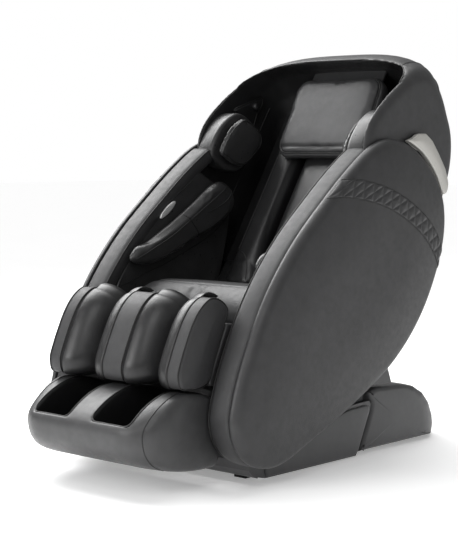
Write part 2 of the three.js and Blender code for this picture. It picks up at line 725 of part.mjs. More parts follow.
const CALF_SLAB = [[-306, 447], [-330, 478], [-352, 492], [-436, 302], [-428, 290], [-394, 286], [-387, 290]];
const CALF_LOBE = [
  [-441, 296], [-452, 289], [-545, 287], [-562, 302], [-566, 336], [-554, 374], [-534, 419], [-508, 471],
  [-481, 507], [-450, 532], [-420, 541], [-388, 529], [-357, 497],
];
const CALF_PAD = [
  [-441, 296], [-470, 292], [-482, 312], [-470, 356], [-440, 420], [-404, 490], [-380, 508], [-358, 496],
];
const CALF_EAR = [[-286, 428], [-278, 440], [-286, 454], [-306, 458], [-325, 440], [-318, 422]];

function legPoint([y, z], along, across) {
  return [y + along * ALONG_LEG[0] + across * ALONG_LEG[1], z + along * ALONG_LEG[1] - across * ALONG_LEG[0]];
}

const ROD_TOP = legPoint([-306, 447], 18, 20);

function calfShell() {
  const body = slab(CALF_SLAB, -CALF_HALF, CALF_HALF);
  const ears = [1, -1].map((side) => sideSlab(side, CALF_EAR, 196, 212));
  const rods = [1, -1].map((side) => barBetween(LEG_ROD_R + 0.8,
    [side * LEG_ROD_X, ...legPoint(ROD_TOP, -60, 0)], [side * LEG_ROD_X, ...legPoint(ROD_TOP, 300, 0)]));
  return cut(join(body, ...ears), barX(LEG_SHAFT_R + 0.8, -ACROSS, ACROSS, ...LEG_AXIS, 20), ...rods);
}

function calf() {
  const group = new THREE.Group();
  group.add(piece('calf_shell', calfShell(), 'leather'));
  group.add(piece('calf_lobe_left', sideSlab(1, CALF_LOBE, SIDE_LOBE_IN, CALF_HALF, 10), 'leather'));
  group.add(piece('calf_lobe_right', sideSlab(-1, CALF_LOBE, SIDE_LOBE_IN, CALF_HALF, 10), 'leather'));
  const centre = CALF_LOBE.map(([y, z]) => [y, z > 480 ? z + 10 : z]);
  group.add(piece('calf_lobe_centre', slab(centre, -LOBE_HALF, LOBE_HALF, 10), 'leather'));
  for (const [name, side] of SIDES) {
    group.add(piece(`calf_pad_${name}`,
      sideSlab(side, CALF_PAD, LOBE_HALF + GAP, SIDE_LOBE_IN - GAP, 6), 'innerLeather'));
  }
  return group;
}

// Foot unit
const FOOT_OUTLINE = [
  [-384, 96], [-384, 216], [-392, 244], [-420, 262], [-475, 275], [-535, 284], [-590, 271], [-640, 246],
  [-684, 214], [-703, 190], [-705, 165], [-694, 128], [-664, 94], [-610, 72], [-530, 60], [-440, 54],
  [-404, 56], [-388, 70],
];
const FOOT_WELL = [
  [-404, 320], [-404, 122], [-420, 72], [-600, 78], [-640, 98], [-674, 122], [-688, 150], [-686, 188],
  [-676, 320],
];

const SOLE_PAD = [[-416, 124], [-640, 128], [-640, 134], [-416, 130]];

// The foot unit's plan, with round front corners, as a column to cut the side outline with
function footPlan() {
  const [half, front, corner] = [FOOT_HALF, -706, 110];
  const plan = new THREE.Shape();
  plan.moveTo(half, -370);
  plan.lineTo(-half, -370);
  plan.lineTo(-half, front + corner);
  plan.quadraticCurveTo(-half, front + 8, corner - half, front);
  plan.lineTo(half - corner, front);
  plan.quadraticCurveTo(half, front + 8, half, front + corner);
  return new THREE.ExtrudeGeometry(plan, { depth: 400, bevelEnabled: false, curveSegments: 8 });
}

function footShell() {
  const body = common(slab(FOOT_OUTLINE, -FOOT_HALF, FOOT_HALF, 14), footPlan());
  const rods = [1, -1].map((side) => barBetween(LEG_ROD_R,
    [side * LEG_ROD_X, ...ROD_TOP], [side * LEG_ROD_X, ...legPoint(ROD_TOP, 232, 0)]));
  const wells = [1, -1].map((side) => sideSlab(side, FOOT_WELL, WELL_IN, WELL_OUT));
  const shaft = barX(SOLE_SHAFT_R + 0.6, -WELL_OUT - 14, WELL_OUT + 14, ...SOLE_AXIS, 16);
  return join(cut(body, ...wells, shaft), ...rods);
}

function soleRollers() {
  const wheels = [1, -1].flatMap((side) => [84, 120, 156].map((x) => barX(SOLE_WHEEL_R, side * x - 9,
    side * x + 9, ...SOLE_AXIS, 14)));
  return join(barX(SOLE_SHAFT_R, -WELL_OUT - 12, WELL_OUT + 12, ...SOLE_AXIS, 16), ...wheels);
}

function foot() {
  const group = new THREE.Group();
  group.add(piece('foot_shell', footShell(), 'leather'));
  group.add(piece('sole_rollers', soleRollers(), 'darkPlastic'));
  for (const [name, side] of SIDES) {
    group.add(piece(`sole_pad_${name}`, sideSlab(side, SOLE_PAD, WELL_IN + 2, WELL_OUT - 2), 'innerLeather'));
  }
  return group;
}

const chair = new THREE.Group();
chair.add(base(), carriage(), seat(), backrest(), calf(), foot());

export default chair;
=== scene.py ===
"""Massage chair: leather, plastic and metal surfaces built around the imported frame.

Metres. +Z is up, the sitter faces -Y and +X is the sitter's left.
"""

import json
import math

import bmesh
import bpy
import numpy as np
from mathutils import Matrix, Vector
from mathutils.bvhtree import BVHTree


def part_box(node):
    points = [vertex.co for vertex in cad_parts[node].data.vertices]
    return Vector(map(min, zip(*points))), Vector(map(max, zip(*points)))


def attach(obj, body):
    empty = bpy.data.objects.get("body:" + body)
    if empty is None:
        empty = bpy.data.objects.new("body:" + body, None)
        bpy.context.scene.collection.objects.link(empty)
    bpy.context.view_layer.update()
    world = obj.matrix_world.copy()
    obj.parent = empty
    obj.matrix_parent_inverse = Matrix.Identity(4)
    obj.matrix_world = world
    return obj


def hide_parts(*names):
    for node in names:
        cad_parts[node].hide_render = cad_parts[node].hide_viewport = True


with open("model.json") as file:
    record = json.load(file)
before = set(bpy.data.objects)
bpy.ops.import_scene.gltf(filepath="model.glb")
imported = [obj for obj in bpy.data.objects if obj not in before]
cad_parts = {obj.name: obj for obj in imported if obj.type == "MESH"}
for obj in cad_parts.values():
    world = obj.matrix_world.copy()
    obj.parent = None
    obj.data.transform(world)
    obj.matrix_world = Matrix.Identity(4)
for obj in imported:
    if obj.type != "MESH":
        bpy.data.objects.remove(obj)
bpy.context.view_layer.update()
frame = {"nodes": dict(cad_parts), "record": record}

SIDES = (("left", 1), ("right", -1))

# The backrest's own frame: depth u runs to the rear and length v up the backrest
BACK_ORIGIN = (0.135, 0.500)
BACK_LEAN = math.radians(33)

# Layers across the chair, from the middle plane
SHELL_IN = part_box("pod_shell_left")[0].x
BAND_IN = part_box("pod_band_left")[0].x
BAND_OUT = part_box("pod_band_left")[1].x
PANEL_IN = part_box("arm_panel_left")[0].x
PANEL_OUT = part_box("arm_panel_left")[1].x
WING_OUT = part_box("back_shell")[1].x

# Radii of the piping and of the stitched seams
PIPING = 0.0022
FINE_PIPING = 0.0018
SEAM = 0.0014


# ---- curves ---------------------------------------------------------------------------------------
def mm(points):
    """Points given in millimetres, as metres."""
    return np.array(points) / 1000


def resample(line, count, closed=False):
    """Points evenly spaced along a line of points. A closed line's last point isn't repeated."""
    line = np.array(line, float)
    if closed:
        line = np.vstack([line, line[:1]])
    length = np.concatenate([[0], np.cumsum(np.linalg.norm(np.diff(line, axis=0), axis=1))])
    at = np.linspace(0, length[-1], count, endpoint=not closed)
    return np.stack([np.interp(at, length, line[:, k]) for k in range(line.shape[1])], axis=1)


def smooth_line(points, count, closed=False):
    """A smooth line through given points, as evenly spaced points."""
    p = np.array(points, float)
    p = np.vstack([p[-1:], p, p[:2]] if closed else [2 * p[:1] - p[1:2], p, 2 * p[-1:] - p[-2:-1]])
    t = np.concatenate([[0], np.cumsum(np.linalg.norm(np.diff(p, axis=0), axis=1) ** 0.5)])
    s = np.linspace(0, 1, 16, endpoint=False)[:, None]
    dense = []
    for i in range(1, len(p) - 2):
        slopes = []
        for j in (i, i + 1):
            before = (p[j] - p[j - 1]) / (t[j] - t[j - 1])
            after = (p[j + 1] - p[j]) / (t[j + 1] - t[j])
            slopes.append(before + after - (p[j + 1] - p[j - 1]) / (t[j + 1] - t[j - 1]))
        step = t[i + 1] - t[i]
        dense.append(
            p[i] * (2 * s**3 - 3 * s**2 + 1) + p[i + 1] * (3 * s**2 - 2 * s**3)
            + step * slopes[0] * (s**3 - 2 * s**2 + s) + step * slopes[1] * (s**3 - s**2)
        )
    if not closed:
        dense.append(p[-2:-1])
    return resample(np.vstack(dense), count, closed)


def round_box(width, height, radius, segments=6):
    """A rectangle with round corners, centred on the origin, counter-clockwise."""
    points = []
    for sx, sy, start in ((1, -1, -90), (1, 1, 0), (-1, 1, 90), (-1, -1, 180)):
        for i in range(segments + 1):
            angle = math.radians(start + 90 * i / segments)
            points.append((sx * (width / 2 - radius) + radius * math.cos(angle),
                           sy * (height / 2 - radius) + radius * math.sin(angle)))
    return np.array(points)


def hull_outline(node, count, through=48):
    """The outline of a CAD node seen from the side, as smooth counter-clockwise (y, z) points."""
    points = sorted({(round(v.co.y, 5), round(v.co.z, 5)) for v in frame["nodes"][node].data.vertices})

    def half(run):
        chain = []
        for p in run:
            while len(chain) > 1 and turn(chain[-2], chain[-1], p) <= 1e-9:
                chain.pop()
            chain.append(p)
        return chain[:-1]

    def turn(a, b, c):
        return (b[0] - a[0]) * (c[1] - a[1]) - (b[1] - a[1]) * (c[0] - a[0])

    hull = half(points) + half(points[::-1])
    return smooth_line(resample(hull, through, True), count, True)


def edge_distance(points, outline):
    """Each point's distance to a closed outline."""
    a = outline
    b = np.roll(outline, -1, axis=0)
    ab = b - a
    ap = points[:, None, :] - a[None]
    share = np.clip((ap * ab).sum(2) / np.maximum((ab * ab).sum(1), 1e-12), 0, 1)
    return np.linalg.norm(ap - share[..., None] * ab, axis=2).min(1)


def offset(line, distance, closed=False):
    """A flat line moved to its left by a distance."""
    line = np.array(line, float)
    if closed:
        along = np.roll(line, -1, axis=0) - np.roll(line, 1, axis=0)
    else:
        along = np.gradient(line, axis=0)
    along /= np.linalg.norm(along, axis=1)[:, None]
    return line + distance * np.stack([-along[:, 1], along[:, 0]], axis=1)


def part_of(outline, first, last):
    """The stretch of a closed outline from the point nearest first to the one nearest last, in its order."""
    i = int(np.linalg.norm(outline - np.array(first), axis=1).argmin())
    j = int(np.linalg.norm(outline - np.array(last), axis=1).argmin())
    return np.roll(outline, -i, axis=0)[: (j - i) % len(outline) + 1]


# ---- placing: (a, b, height) points to the row frame ------------------------------------------------
def at_side(side):
    """Side views: a is y, b is z and the height is the distance from the middle plane."""
    return lambda p: np.stack([side * p[:, 2], p[:, 0], p[:, 1]], axis=1)


def back_points(x, u, v):
    """Points of the backrest's own frame in the row frame."""
    x, u, v = np.broadcast_arrays(x, u, v)
    y = BACK_ORIGIN[0] + u * math.cos(BACK_LEAN) + v * math.sin(BACK_LEAN)
    z = BACK_ORIGIN[1] - u * math.sin(BACK_LEAN) + v * math.cos(BACK_LEAN)
    return np.stack([x, y, z], axis=-1)


def on_back(p):
    """Face views of the backrest: a is x, b is v and the height is towards the sitter."""
    return back_points(p[:, 0], -p[:, 2], p[:, 1])


def in_wing(side):
    """Side views in the backrest's frame: a is u, b is v, the height is the distance from the middle."""
    return lambda p: back_points(side * p[:, 2], p[:, 0], p[:, 1])


def to_back(points):
    """Side-view (y, z) points as (u, v) points of the backrest's frame."""
    y, z = (np.array(points, float) - np.array(BACK_ORIGIN)).T
    c, s = math.cos(BACK_LEAN), math.sin(BACK_LEAN)
    return np.stack([y * c - z * s, y * s + z * c], axis=1)


# ---- meshes -----------------------------------------------------------------------------------------
def new_object(name, vertices, faces, material):
    mesh = bpy.data.meshes.new(name)
    mesh.from_pydata([tuple(v) for v in vertices], [], faces)
    bm = bmesh.new()
    bm.from_mesh(mesh)
    bmesh.ops.recalc_face_normals(bm, faces=bm.faces)
    bm.to_mesh(mesh)
    bm.free()
    mesh.polygons.foreach_set("use_smooth", [True] * len(mesh.polygons))
    mesh.materials.append(material)
    obj = bpy.data.objects.new(name, mesh)
    bpy.context.scene.collection.objects.link(obj)
    return obj


def loft(name, rings, material, closed_ends=True):
    """A body through rings of points, each ring closed, with a fan on each end."""
    rings = np.array(rings, float)
    rows, count = rings.shape[:2]
    vertices = list(rings.reshape(-1, 3))
    faces = []
    for r in range(rows - 1):
        for i in range(count):
            j = (i + 1) % count
            faces.append((r * count + i, r * count + j, (r + 1) * count + j, (r + 1) * count + i))
    if closed_ends:
        for r in (0, rows - 1):
            middle = len(vertices)
            vertices.append(rings[r].mean(0))
            faces += [(r * count + i, r * count + (i + 1) % count, middle) for i in range(count)]
    return new_object(name, vertices, faces, material)


def pad(name, outline, place, low, high, material, radius=0.01, crown=0.0, reach=0.1, back_crown=0.0,
        rings=26):
    """A padded body on a flat outline, from one height to another.

    Its edges are rounded by radius, and its faces rise by crown at the distance reach from the edge.
    """
    outline = np.array(outline, float)
    centre = outline.mean(0)
    shares = (np.arange(rings) / rings) ** 1.8
    flat = np.concatenate([outline + (centre - outline) * s for s in shares])
    d = edge_distance(flat, outline)
    edge = np.clip(d / radius, 0, 1)
    rise = radius * np.sqrt(1 - (1 - edge) ** 2)
    swell = 1 - (1 - np.clip(d / reach, 0, 1)) ** 2
    top = high - radius + rise + crown * swell
    bottom = low + radius - rise - back_crown * swell
    upper = place(np.column_stack([flat, top])).reshape(rings, -1, 3)
    lower = place(np.column_stack([flat, bottom])).reshape(rings, -1, 3)
    return loft(name, np.concatenate([lower[::-1], upper]), material)


def tube(name, path, radius, material, closed=False, sides=8):
    """A round cord along a line of 3-D points."""
    path = np.array(path, float)
    apart = np.linalg.norm(np.diff(path, axis=0), axis=1) > 0.0002
    path = path[np.concatenate([[True], apart])]
    count = len(path)
    along = np.roll(path, -1, axis=0) - np.roll(path, 1, axis=0) if closed else np.gradient(path, axis=0)
    along /= np.linalg.norm(along, axis=1)[:, None]
    across = np.cross(along[0], (1, 0, 0) if abs(along[0][0]) < 0.8 else (0, 1, 0))
    rings = []
    for i in range(count):
        across = across - along[i] * across.dot(along[i])
        across /= np.linalg.norm(across)
        other = np.cross(along[i], across)
        angles = np.linspace(0, 2 * math.pi, sides, endpoint=False)[:, None]
        rings.append(path[i] + radius * (np.cos(angles) * across + np.sin(angles) * other))
    if closed:
        rings.append(rings[0])
    return loft(name, rings, material, closed_ends=not closed)


def strip(name, line, normals, across, section, material):
    """A section of (sideways, outward) points swept along a line, closed at both ends."""
    line = np.array(line, float)
    section = np.array(section, float)
    rings = (line[:, None, :] + section[None, :, :1] * np.array(across)
             + section[None, :, 1:] * normals[:, None, :])
    return loft(name, rings, material)


def sheet(name, top, under, rows, material):
    """A thin body between two grids of points, each given row by row."""
    columns = len(top) // rows
    n = rows * columns
    faces = []
    for r in range(rows - 1):
        for c in range(columns - 1):
            a = r * columns + c
            quad = (a, a + 1, a + columns + 1, a + columns)
            faces.append(quad)
            faces.append(tuple(n + i for i in reversed(quad)))
    ring = list(range(columns))
    ring += [r * columns + columns - 1 for r in range(1, rows)]
    ring += [(rows - 1) * columns + c for c in range(columns - 2, -1, -1)]
    ring += [r * columns for r in range(rows - 2, 0, -1)]
    for a, b in zip(ring, ring[1:] + ring[:1]):
        faces.append((a, b, n + b, n + a))
    return new_object(name, np.concatenate([top, under]), faces, material)


def rounded_rings(half, radius, turns, level, ring):
    """The rings of a body that spans the chair, with both side edges rounded by radius.

    level holds the x of the rings between the edges, and ring makes one from (x, inward).
    """
    angles = np.radians(np.linspace(90, 0, turns))
    stations = [(half - radius + radius * math.sin(a), radius * (1 - math.cos(a))) for a in angles]
    stations += [(x, 0.0) for x in level]
    return [ring(-x, d) for x, d in stations] + [ring(x, d) for x, d in reversed(stations)]


def corner_share(x, half, depth, amount, power):
    """How much of a box's length is left at x, where its corner rounds off over depth."""
    corner = max(0.0, (abs(x) - (half - depth)) / depth)
    return 1 - amount * (1 - math.sqrt(max(0.0, 1 - corner**power)))


def drawn_in(x, line, pivot, sign, share):
    """A side-view line at x, with what lies past the pivot (sign 1: to the rear) cut to a share."""
    past = line[:, 0] - pivot
    y = np.where(past * sign > 0, pivot + past * share, line[:, 0])
    return np.column_stack([np.full(len(line), x), y, line[:, 1]])


def coordinates(obj):
    co = np.empty(len(obj.data.vertices) * 3)
    obj.data.vertices.foreach_get("co", co)
    return co.reshape(-1, 3)


def set_coordinates(obj, co):
    obj.data.vertices.foreach_set("co", np.ascontiguousarray(co, dtype=np.float32).ravel())
    obj.data.update()


def apply_modifiers(obj):
    """Replaces the mesh with what its modifiers make of it."""
    materials = list(obj.data.materials)
    evaluated = obj.evaluated_get(bpy.context.evaluated_depsgraph_get())
    mesh = bpy.data.meshes.new_from_object(evaluated)
    obj.modifiers.clear()
    obj.data = mesh
    if not mesh.materials:
        for material in materials:
            mesh.materials.append(material)
    mesh.polygons.foreach_set("use_smooth", [True] * len(mesh.polygons))
    return obj


def remesh(obj, voxel):
    modifier = obj.modifiers.new("remesh", "REMESH")
    modifier.mode = "VOXEL"
    modifier.voxel_size = voxel
    modifier.use_smooth_shade = True
    return apply_modifiers(obj)


def soften(obj, repeats, factor=0.5):
    modifier = obj.modifiers.new("smooth", "SMOOTH")
    modifier.factor = factor
    modifier.iterations = repeats
    return apply_modifiers(obj)


def finer(obj, levels=1):
    modifier = obj.modifiers.new("finer", "SUBSURF")
    modifier.levels = levels
    modifier.render_levels = levels
    return apply_modifiers(obj)


def carve(obj, *tools):
    """Cuts other bodies out of this one."""
    for tool in tools:
        modifier = obj.modifiers.new("carve", "BOOLEAN")
        modifier.operation = "DIFFERENCE"
        modifier.solver = "EXACT"
        modifier.use_self = True
        modifier.object = tool
        apply_modifiers(obj)
        bpy.data.objects.remove(tool)
    return obj


def inflate(obj, cap, voxel=0.006, pressure=4.0):
    """Blows a pad up as cloth. No point moves further than cap."""
    remesh(obj, voxel)
    before = coordinates(obj)
    cloth = obj.modifiers.new("cloth", "CLOTH")
    cloth.settings.use_pressure = True
    cloth.settings.uniform_pressure_force = pressure
    cloth.settings.effector_weights.gravity = 0
    cloth.point_cache.frame_start = 1
    cloth.point_cache.frame_end = 20
    scene = bpy.context.scene
    for number in range(1, 21):
        scene.frame_set(number)
    evaluated = obj.evaluated_get(bpy.context.evaluated_depsgraph_get())
    after = np.empty(before.size)
    evaluated.data.vertices.foreach_get("co", after)
    after = after.reshape(-1, 3)
    obj.modifiers.remove(cloth)
    scene.frame_set(1)
    move = after - before
    length = np.linalg.norm(move, axis=1)
    move *= (np.minimum(length, cap) / np.maximum(length, 1e-9))[:, None]
    set_coordinates(obj, before + move)
    return finer(soften(obj, 3))


def normals_of(obj):
    normals = np.empty(len(obj.data.vertices) * 3)
    obj.data.vertices.foreach_get("normal", normals)
    return normals.reshape(-1, 3)


def press(obj, path, width, depth):
    """Presses a sewn channel into a mesh along a line of 3-D points."""
    co = coordinates(obj)
    path = resample(path, max(8, int(len(path) * 2)))
    low, high = path.min(0) - width, path.max(0) + width
    near = np.where(((co > low) & (co < high)).all(1))[0]
    if not len(near):
        return obj
    distance = np.full(len(near), 9.0)
    for start in range(0, len(path), 32):
        part = path[start:start + 32]
        gap = np.linalg.norm(co[near][:, None] - part[None], axis=2).min(1)
        distance = np.minimum(distance, gap)
    fall = np.exp(-((distance / width) ** 2) * 3)
    co[near] -= normals_of(obj)[near] * (depth * fall)[:, None]
    set_coordinates(obj, co)
    return obj


def cling(path, obj, lift=0.0):
    """The points of a path moved onto the nearest place of a mesh, and lifted off it."""
    bpy.context.view_layer.update()
    tree = BVHTree.FromObject(obj, bpy.context.evaluated_depsgraph_get())
    found = []
    for p in path:
        place, normal, _, _ = tree.find_nearest(Vector(p))
        found.append(np.array(place + normal * lift))
    return np.array(found)


def mirrored(obj, name):
    """A copy on the other side of the middle plane."""
    mesh = obj.data.copy()
    copy = bpy.data.objects.new(name, mesh)
    bpy.context.scene.collection.objects.link(copy)
    co = coordinates(copy)
    co[:, 0] *= -1
    set_coordinates(copy, co)
    mesh.flip_normals()
    return copy


def piece(obj, body, replaces=()):
    """Says what a finished piece rides on and what it stands for."""
    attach(obj, body)
    if replaces:
        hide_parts(*replaces)
    return obj


def cord(name, path, radius, body, closed=False):
    """A line of piping or stitching on a piece, as its own piece."""
    return piece(tube(name, path, radius, MATERIALS["piping"], closed), body)


# ---- materials --------------------------------------------------------------------------------------
class Surface:
    """A procedural material: a Principled shader fed by object-space textures."""

    def __init__(self, name, roughness=0.5, metallic=0.0, specular=0.5):
        self.material = bpy.data.materials.new(name)
        self.material.use_nodes = True
        self.tree = self.material.node_tree
        self.shader = self.tree.nodes["Principled BSDF"]
        self.shader.inputs["Metallic"].default_value = metallic
        self.shader.inputs["Roughness"].default_value = roughness
        self.shader.inputs["Specular IOR Level"].default_value = specular
        self.place = self.tree.nodes.new("ShaderNodeTexCoord").outputs["Object"]

    def noise(self, scale, detail=3.0, stretch=None):
        node = self.tree.nodes.new("ShaderNodeTexNoise")
        node.inputs["Scale"].default_value = scale
        node.inputs["Detail"].default_value = detail
        self.tree.links.new(self.stretched(stretch), node.inputs["Vector"])
        return node.outputs["Fac"]

    def cells(self, scale):
        node = self.tree.nodes.new("ShaderNodeTexVoronoi")
        node.feature = "F1"
        node.inputs["Scale"].default_value = scale
        self.tree.links.new(self.place, node.inputs["Vector"])
        return node.outputs["Distance"]

    def stretched(self, stretch):
        if stretch is None:
            return self.place
        node = self.tree.nodes.new("ShaderNodeMapping")
        node.inputs["Scale"].default_value = stretch
        self.tree.links.new(self.place, node.inputs["Vector"])
        return node.outputs["Vector"]

    def ramp(self, value, low, high):
        """A value mapped to run from low to high."""
        node = self.tree.nodes.new("ShaderNodeMapRange")
        node.inputs["From Min"].default_value = 0.3
        node.inputs["From Max"].default_value = 0.7
        node.inputs["To Min"].default_value = low
        node.inputs["To Max"].default_value = high
        self.tree.links.new(value, node.inputs["Value"])
        return node.outputs["Result"]

    def colours(self, value, dark, light):
        node = self.tree.nodes.new("ShaderNodeValToRGB")
        node.color_ramp.elements[0].position = 0.3
        node.color_ramp.elements[1].position = 0.7
        node.color_ramp.elements[0].color = (*dark, 1)
        node.color_ramp.elements[1].color = (*light, 1)
        self.tree.links.new(value, node.inputs["Fac"])
        self.tree.links.new(node.outputs["Color"], self.shader.inputs["Base Color"])

    def rough(self, value, low, high):
        self.tree.links.new(self.ramp(value, low, high), self.shader.inputs["Roughness"])

    def bump(self, *layers):
        """Bump layers, each a (value, strength, distance), one on top of the other."""
        normal = None
        for value, strength, distance in layers:
            node = self.tree.nodes.new("ShaderNodeBump")
            node.inputs["Strength"].default_value = strength
            node.inputs["Distance"].default_value = distance
            self.tree.links.new(value, node.inputs["Height"])
            if normal is not None:
                self.tree.links.new(normal, node.inputs["Normal"])
            normal = node.outputs["Normal"]
        self.tree.links.new(normal, self.shader.inputs["Normal"])


def shade(colour, factor):
    return tuple(c * factor for c in colour)


def leather(name, colour, roughness, specular=0.5):
    """Embossed leather: pebbles of about 2 mm with finer pores, soft mottling and slight waviness."""
    s = Surface(name, specular=specular)
    mottle = s.noise(26, 4)
    s.colours(mottle, shade(colour, 0.86), shade(colour, 1.16))
    s.rough(s.noise(60, 5), roughness - 0.05, roughness + 0.06)
    s.bump((s.noise(9, 2), 0.10, 0.004), (s.cells(430), 0.22, 0.0012), (s.noise(900, 3), 0.14, 0.0006))
    return s.material


def plastic(name, colour, roughness, grain=700):
    """Moulded plastic with a fine spark-eroded texture."""
    s = Surface(name)
    s.colours(s.noise(14, 3), shade(colour, 0.93), shade(colour, 1.07))
    s.rough(s.noise(50, 3), roughness - 0.03, roughness + 0.05)
    s.bump((s.noise(grain, 2), 0.12, 0.0006))
    return s.material


def coated(name, colour, roughness):
    """Powder-coated steel: a slight orange peel."""
    s = Surface(name, metallic=0.2)
    s.colours(s.noise(20, 3), shade(colour, 0.9), shade(colour, 1.1))
    s.rough(s.noise(80, 3), roughness - 0.05, roughness + 0.05)
    s.bump((s.noise(320, 2), 0.2, 0.0005))
    return s.material


def metal(name, colour, roughness, stretch, metallic=1.0):
    """Bare or satin metal, with fine lines along its grain."""
    s = Surface(name, metallic=metallic)
    lines = s.noise(160, 4, stretch)
    s.colours(lines, shade(colour, 0.9), shade(colour, 1.08))
    s.rough(s.noise(70, 4, stretch), roughness - 0.05, roughness + 0.08)
    s.bump((lines, 0.08, 0.0003))
    return s.material


def rubber(name, colour, roughness):
    s = Surface(name, specular=0.3)
    s.colours(s.noise(40, 4), shade(colour, 0.85), shade(colour, 1.2))
    s.rough(s.noise(90, 3), roughness - 0.06, roughness + 0.06)
    s.bump((s.noise(500, 3), 0.25, 0.0008))
    return s.material


MATERIALS = {
    "leather": leather("outer_leather", (0.027, 0.027, 0.028), 0.47),
    "band": leather("band_leather", (0.026, 0.026, 0.027), 0.54),
    # The strip leather is the outer leather made lighter: painted light standing for light from above on the
    # foot unit's strips.
    "strip": leather("overhead_lit_strip_leather", (0.038, 0.038, 0.039), 0.42),
    # The arm leather is the dark inner leather made lighter: painted light that lifts the shade in the arm
    # recesses.
    "shade_lifted_arm_leather": leather("shade_lifted_arm_leather", (0.026, 0.026, 0.0265), 0.32),
    # The inner leather is the dark lining leather and also painted shade: the calf troughs are the lobes'
    # leather in shadow, and the back pads are kept dark against the light they face.
    "inner_leather": leather("inner_leather", (0.0110, 0.0110, 0.0115), 0.35),
    "piping": leather("piping_leather", (0.006, 0.006, 0.006), 0.50),
    "base_plastic": plastic("graphite_plastic", (0.062, 0.062, 0.064), 0.42),
    "dark_plastic": plastic("black_plastic", (0.012, 0.012, 0.013), 0.40),
    "trim": metal("champagne_trim", (0.50, 0.49, 0.46), 0.36, (1, 1, 8), 0.35),
    "chrome": metal("bright_badge", (0.72, 0.72, 0.72), 0.18, (1, 6, 1), 0.5),
    "steel": metal("zinc_steel", (0.50, 0.51, 0.52), 0.30, (12, 1, 1)),
    "painted_steel": coated("black_powder_coat", (0.020, 0.021, 0.023), 0.50),
    "rubber": rubber("black_rubber", (0.013, 0.013, 0.013), 0.75),
}


def dress_cad_nodes():
    """Gives every CAD node that stays in view the material of its slot."""
    slots = {s["node"]: s["material_slot"] for s in frame["record"]["subparts"]}
    for name, obj in frame["nodes"].items():
        obj.data.materials.clear()
        obj.data.materials.append(MATERIALS[slots[name]])


# ---- stage: camera, floor, lights -----------------------------------------------------------------
def make_camera():
    data = bpy.data.cameras.new("camera")
    data.lens = 101.3
    data.sensor_width = 36
    camera = bpy.data.objects.new("camera", data)
    camera.location = (3.0727, -3.4775, 0.95)
    camera.rotation_euler = (math.radians(90 - 4.475), 0, math.radians(42))
    bpy.context.scene.collection.objects.link(camera)
    bpy.context.scene.camera = camera


AMBIENT = 0.32


def make_light(name, location, target, size, power):
    data = bpy.data.lights.new(name, "AREA")
    data.shape = "RECTANGLE"
    data.size, data.size_y = size
    data.energy = power
    light = bpy.data.objects.new(name, data)
    light.location = location
    direction = Vector(target) - Vector(location)
    light.rotation_euler = direction.to_track_quat("-Z", "Y").to_euler()
    bpy.context.scene.collection.objects.link(light)


def make_stage():
    s = Surface("floor_white", roughness=0.6, specular=0.2)
    s.colours(s.noise(2, 2), (0.90, 0.90, 0.90), (0.92, 0.92, 0.92))
    s.rough(s.noise(30, 2), 0.55, 0.65)
    s.shader.inputs["Emission Color"].default_value = (1, 1, 1, 1)
    s.shader.inputs["Emission Strength"].default_value = 0.28
    corners = [(-30, -30, 0), (30, -30, 0), (30, 30, 0), (-30, 30, 0)]
    floor = new_object("floor", corners, [(0, 1, 2, 3)], s.material)
    floor.location.z = -0.0005
    world = bpy.data.worlds.new("studio")
    world.use_nodes = True
    links = world.node_tree.links
    background = world.node_tree.nodes["Background"]
    background.inputs["Color"].default_value = (1, 1, 1, 1)
    seen = world.node_tree.nodes.new("ShaderNodeMapRange")
    seen.inputs["To Min"].default_value = AMBIENT
    seen.inputs["To Max"].default_value = 1.0
    path = world.node_tree.nodes.new("ShaderNodeLightPath")
    links.new(path.outputs["Is Camera Ray"], seen.inputs["Value"])
    links.new(seen.outputs["Result"], background.inputs["Strength"])
    bpy.context.scene.world = world
    bpy.context.scene.view_settings.view_transform = "Standard"
    make_light("left_softbox", (-3.0, 0.2, 3.4), (0, -0.1, 0.6), (3.2, 3.2), 230)
    make_light("front_softbox", (-0.8, -4.0, 1.8), (0, 0, 0.6), (1.8, 1.8), 75)
    make_light("right_strip", (2.0, -2.8, 3.3), (-0.3, 0.1, 0.8), (0.5, 2.2), 34)
    sun = bpy.data.lights.new("sky_panel", "SUN")
    sun.energy = 1.6
    sun.angle = math.radians(40)
    sun_object = bpy.data.objects.new("sky_panel", sun)
    sun_object.rotation_euler = (math.radians(-12), math.radians(-14), 0)
    bpy.context.scene.collection.objects.link(sun_object)


# ---- pods -------------------------------------------------------------------------------------------
POD_OUTLINE = hull_outline("pod_shell_left", 176)
POD_CROWN = 0.022
POD_REACH = 0.21
BAND_TOP = (0.150, 0.955)
BAND_BOTTOM = (-0.300, 0.058)
BAND_EXTRA = 0.020  # how much wider the band is on its inner side than the CAD's
POD_STAND = 0.006
POD_EDGE = 0.026
POD_EDGE_RISE = 0.020


def pod_height(flat):
    """How far the pod's leather stands from the middle plane at side-view points."""
    d = edge_distance(flat, POD_OUTLINE)
    edge = np.clip(d / POD_EDGE, 0, 1)
    swell = 1 - (1 - np.clip(d / POD_REACH, 0, 1)) ** 2
    return SHELL_IN + POD_STAND + POD_EDGE_RISE * np.sqrt(1 - (1 - edge) ** 2) + POD_CROWN * swell


def pod_shell(side, name):
    place = at_side(side)
    rings = 34
    shares = (np.arange(rings) / rings) ** 1.8
    centre = POD_OUTLINE.mean(0)
    flat = np.concatenate([POD_OUTLINE + (centre - POD_OUTLINE) * s for s in shares])
    outer = place(np.column_stack([flat, pod_height(flat)])).reshape(rings, -1, 3)
    inner = place(np.column_stack([flat, np.full(len(flat), SHELL_IN)])).reshape(rings, -1, 3)[::4]
    obj = loft(f"pod_{name}", np.concatenate([inner[::-1], outer]), MATERIALS["leather"])
    piece(obj, "seat", [f"pod_shell_{name}"])
    return obj


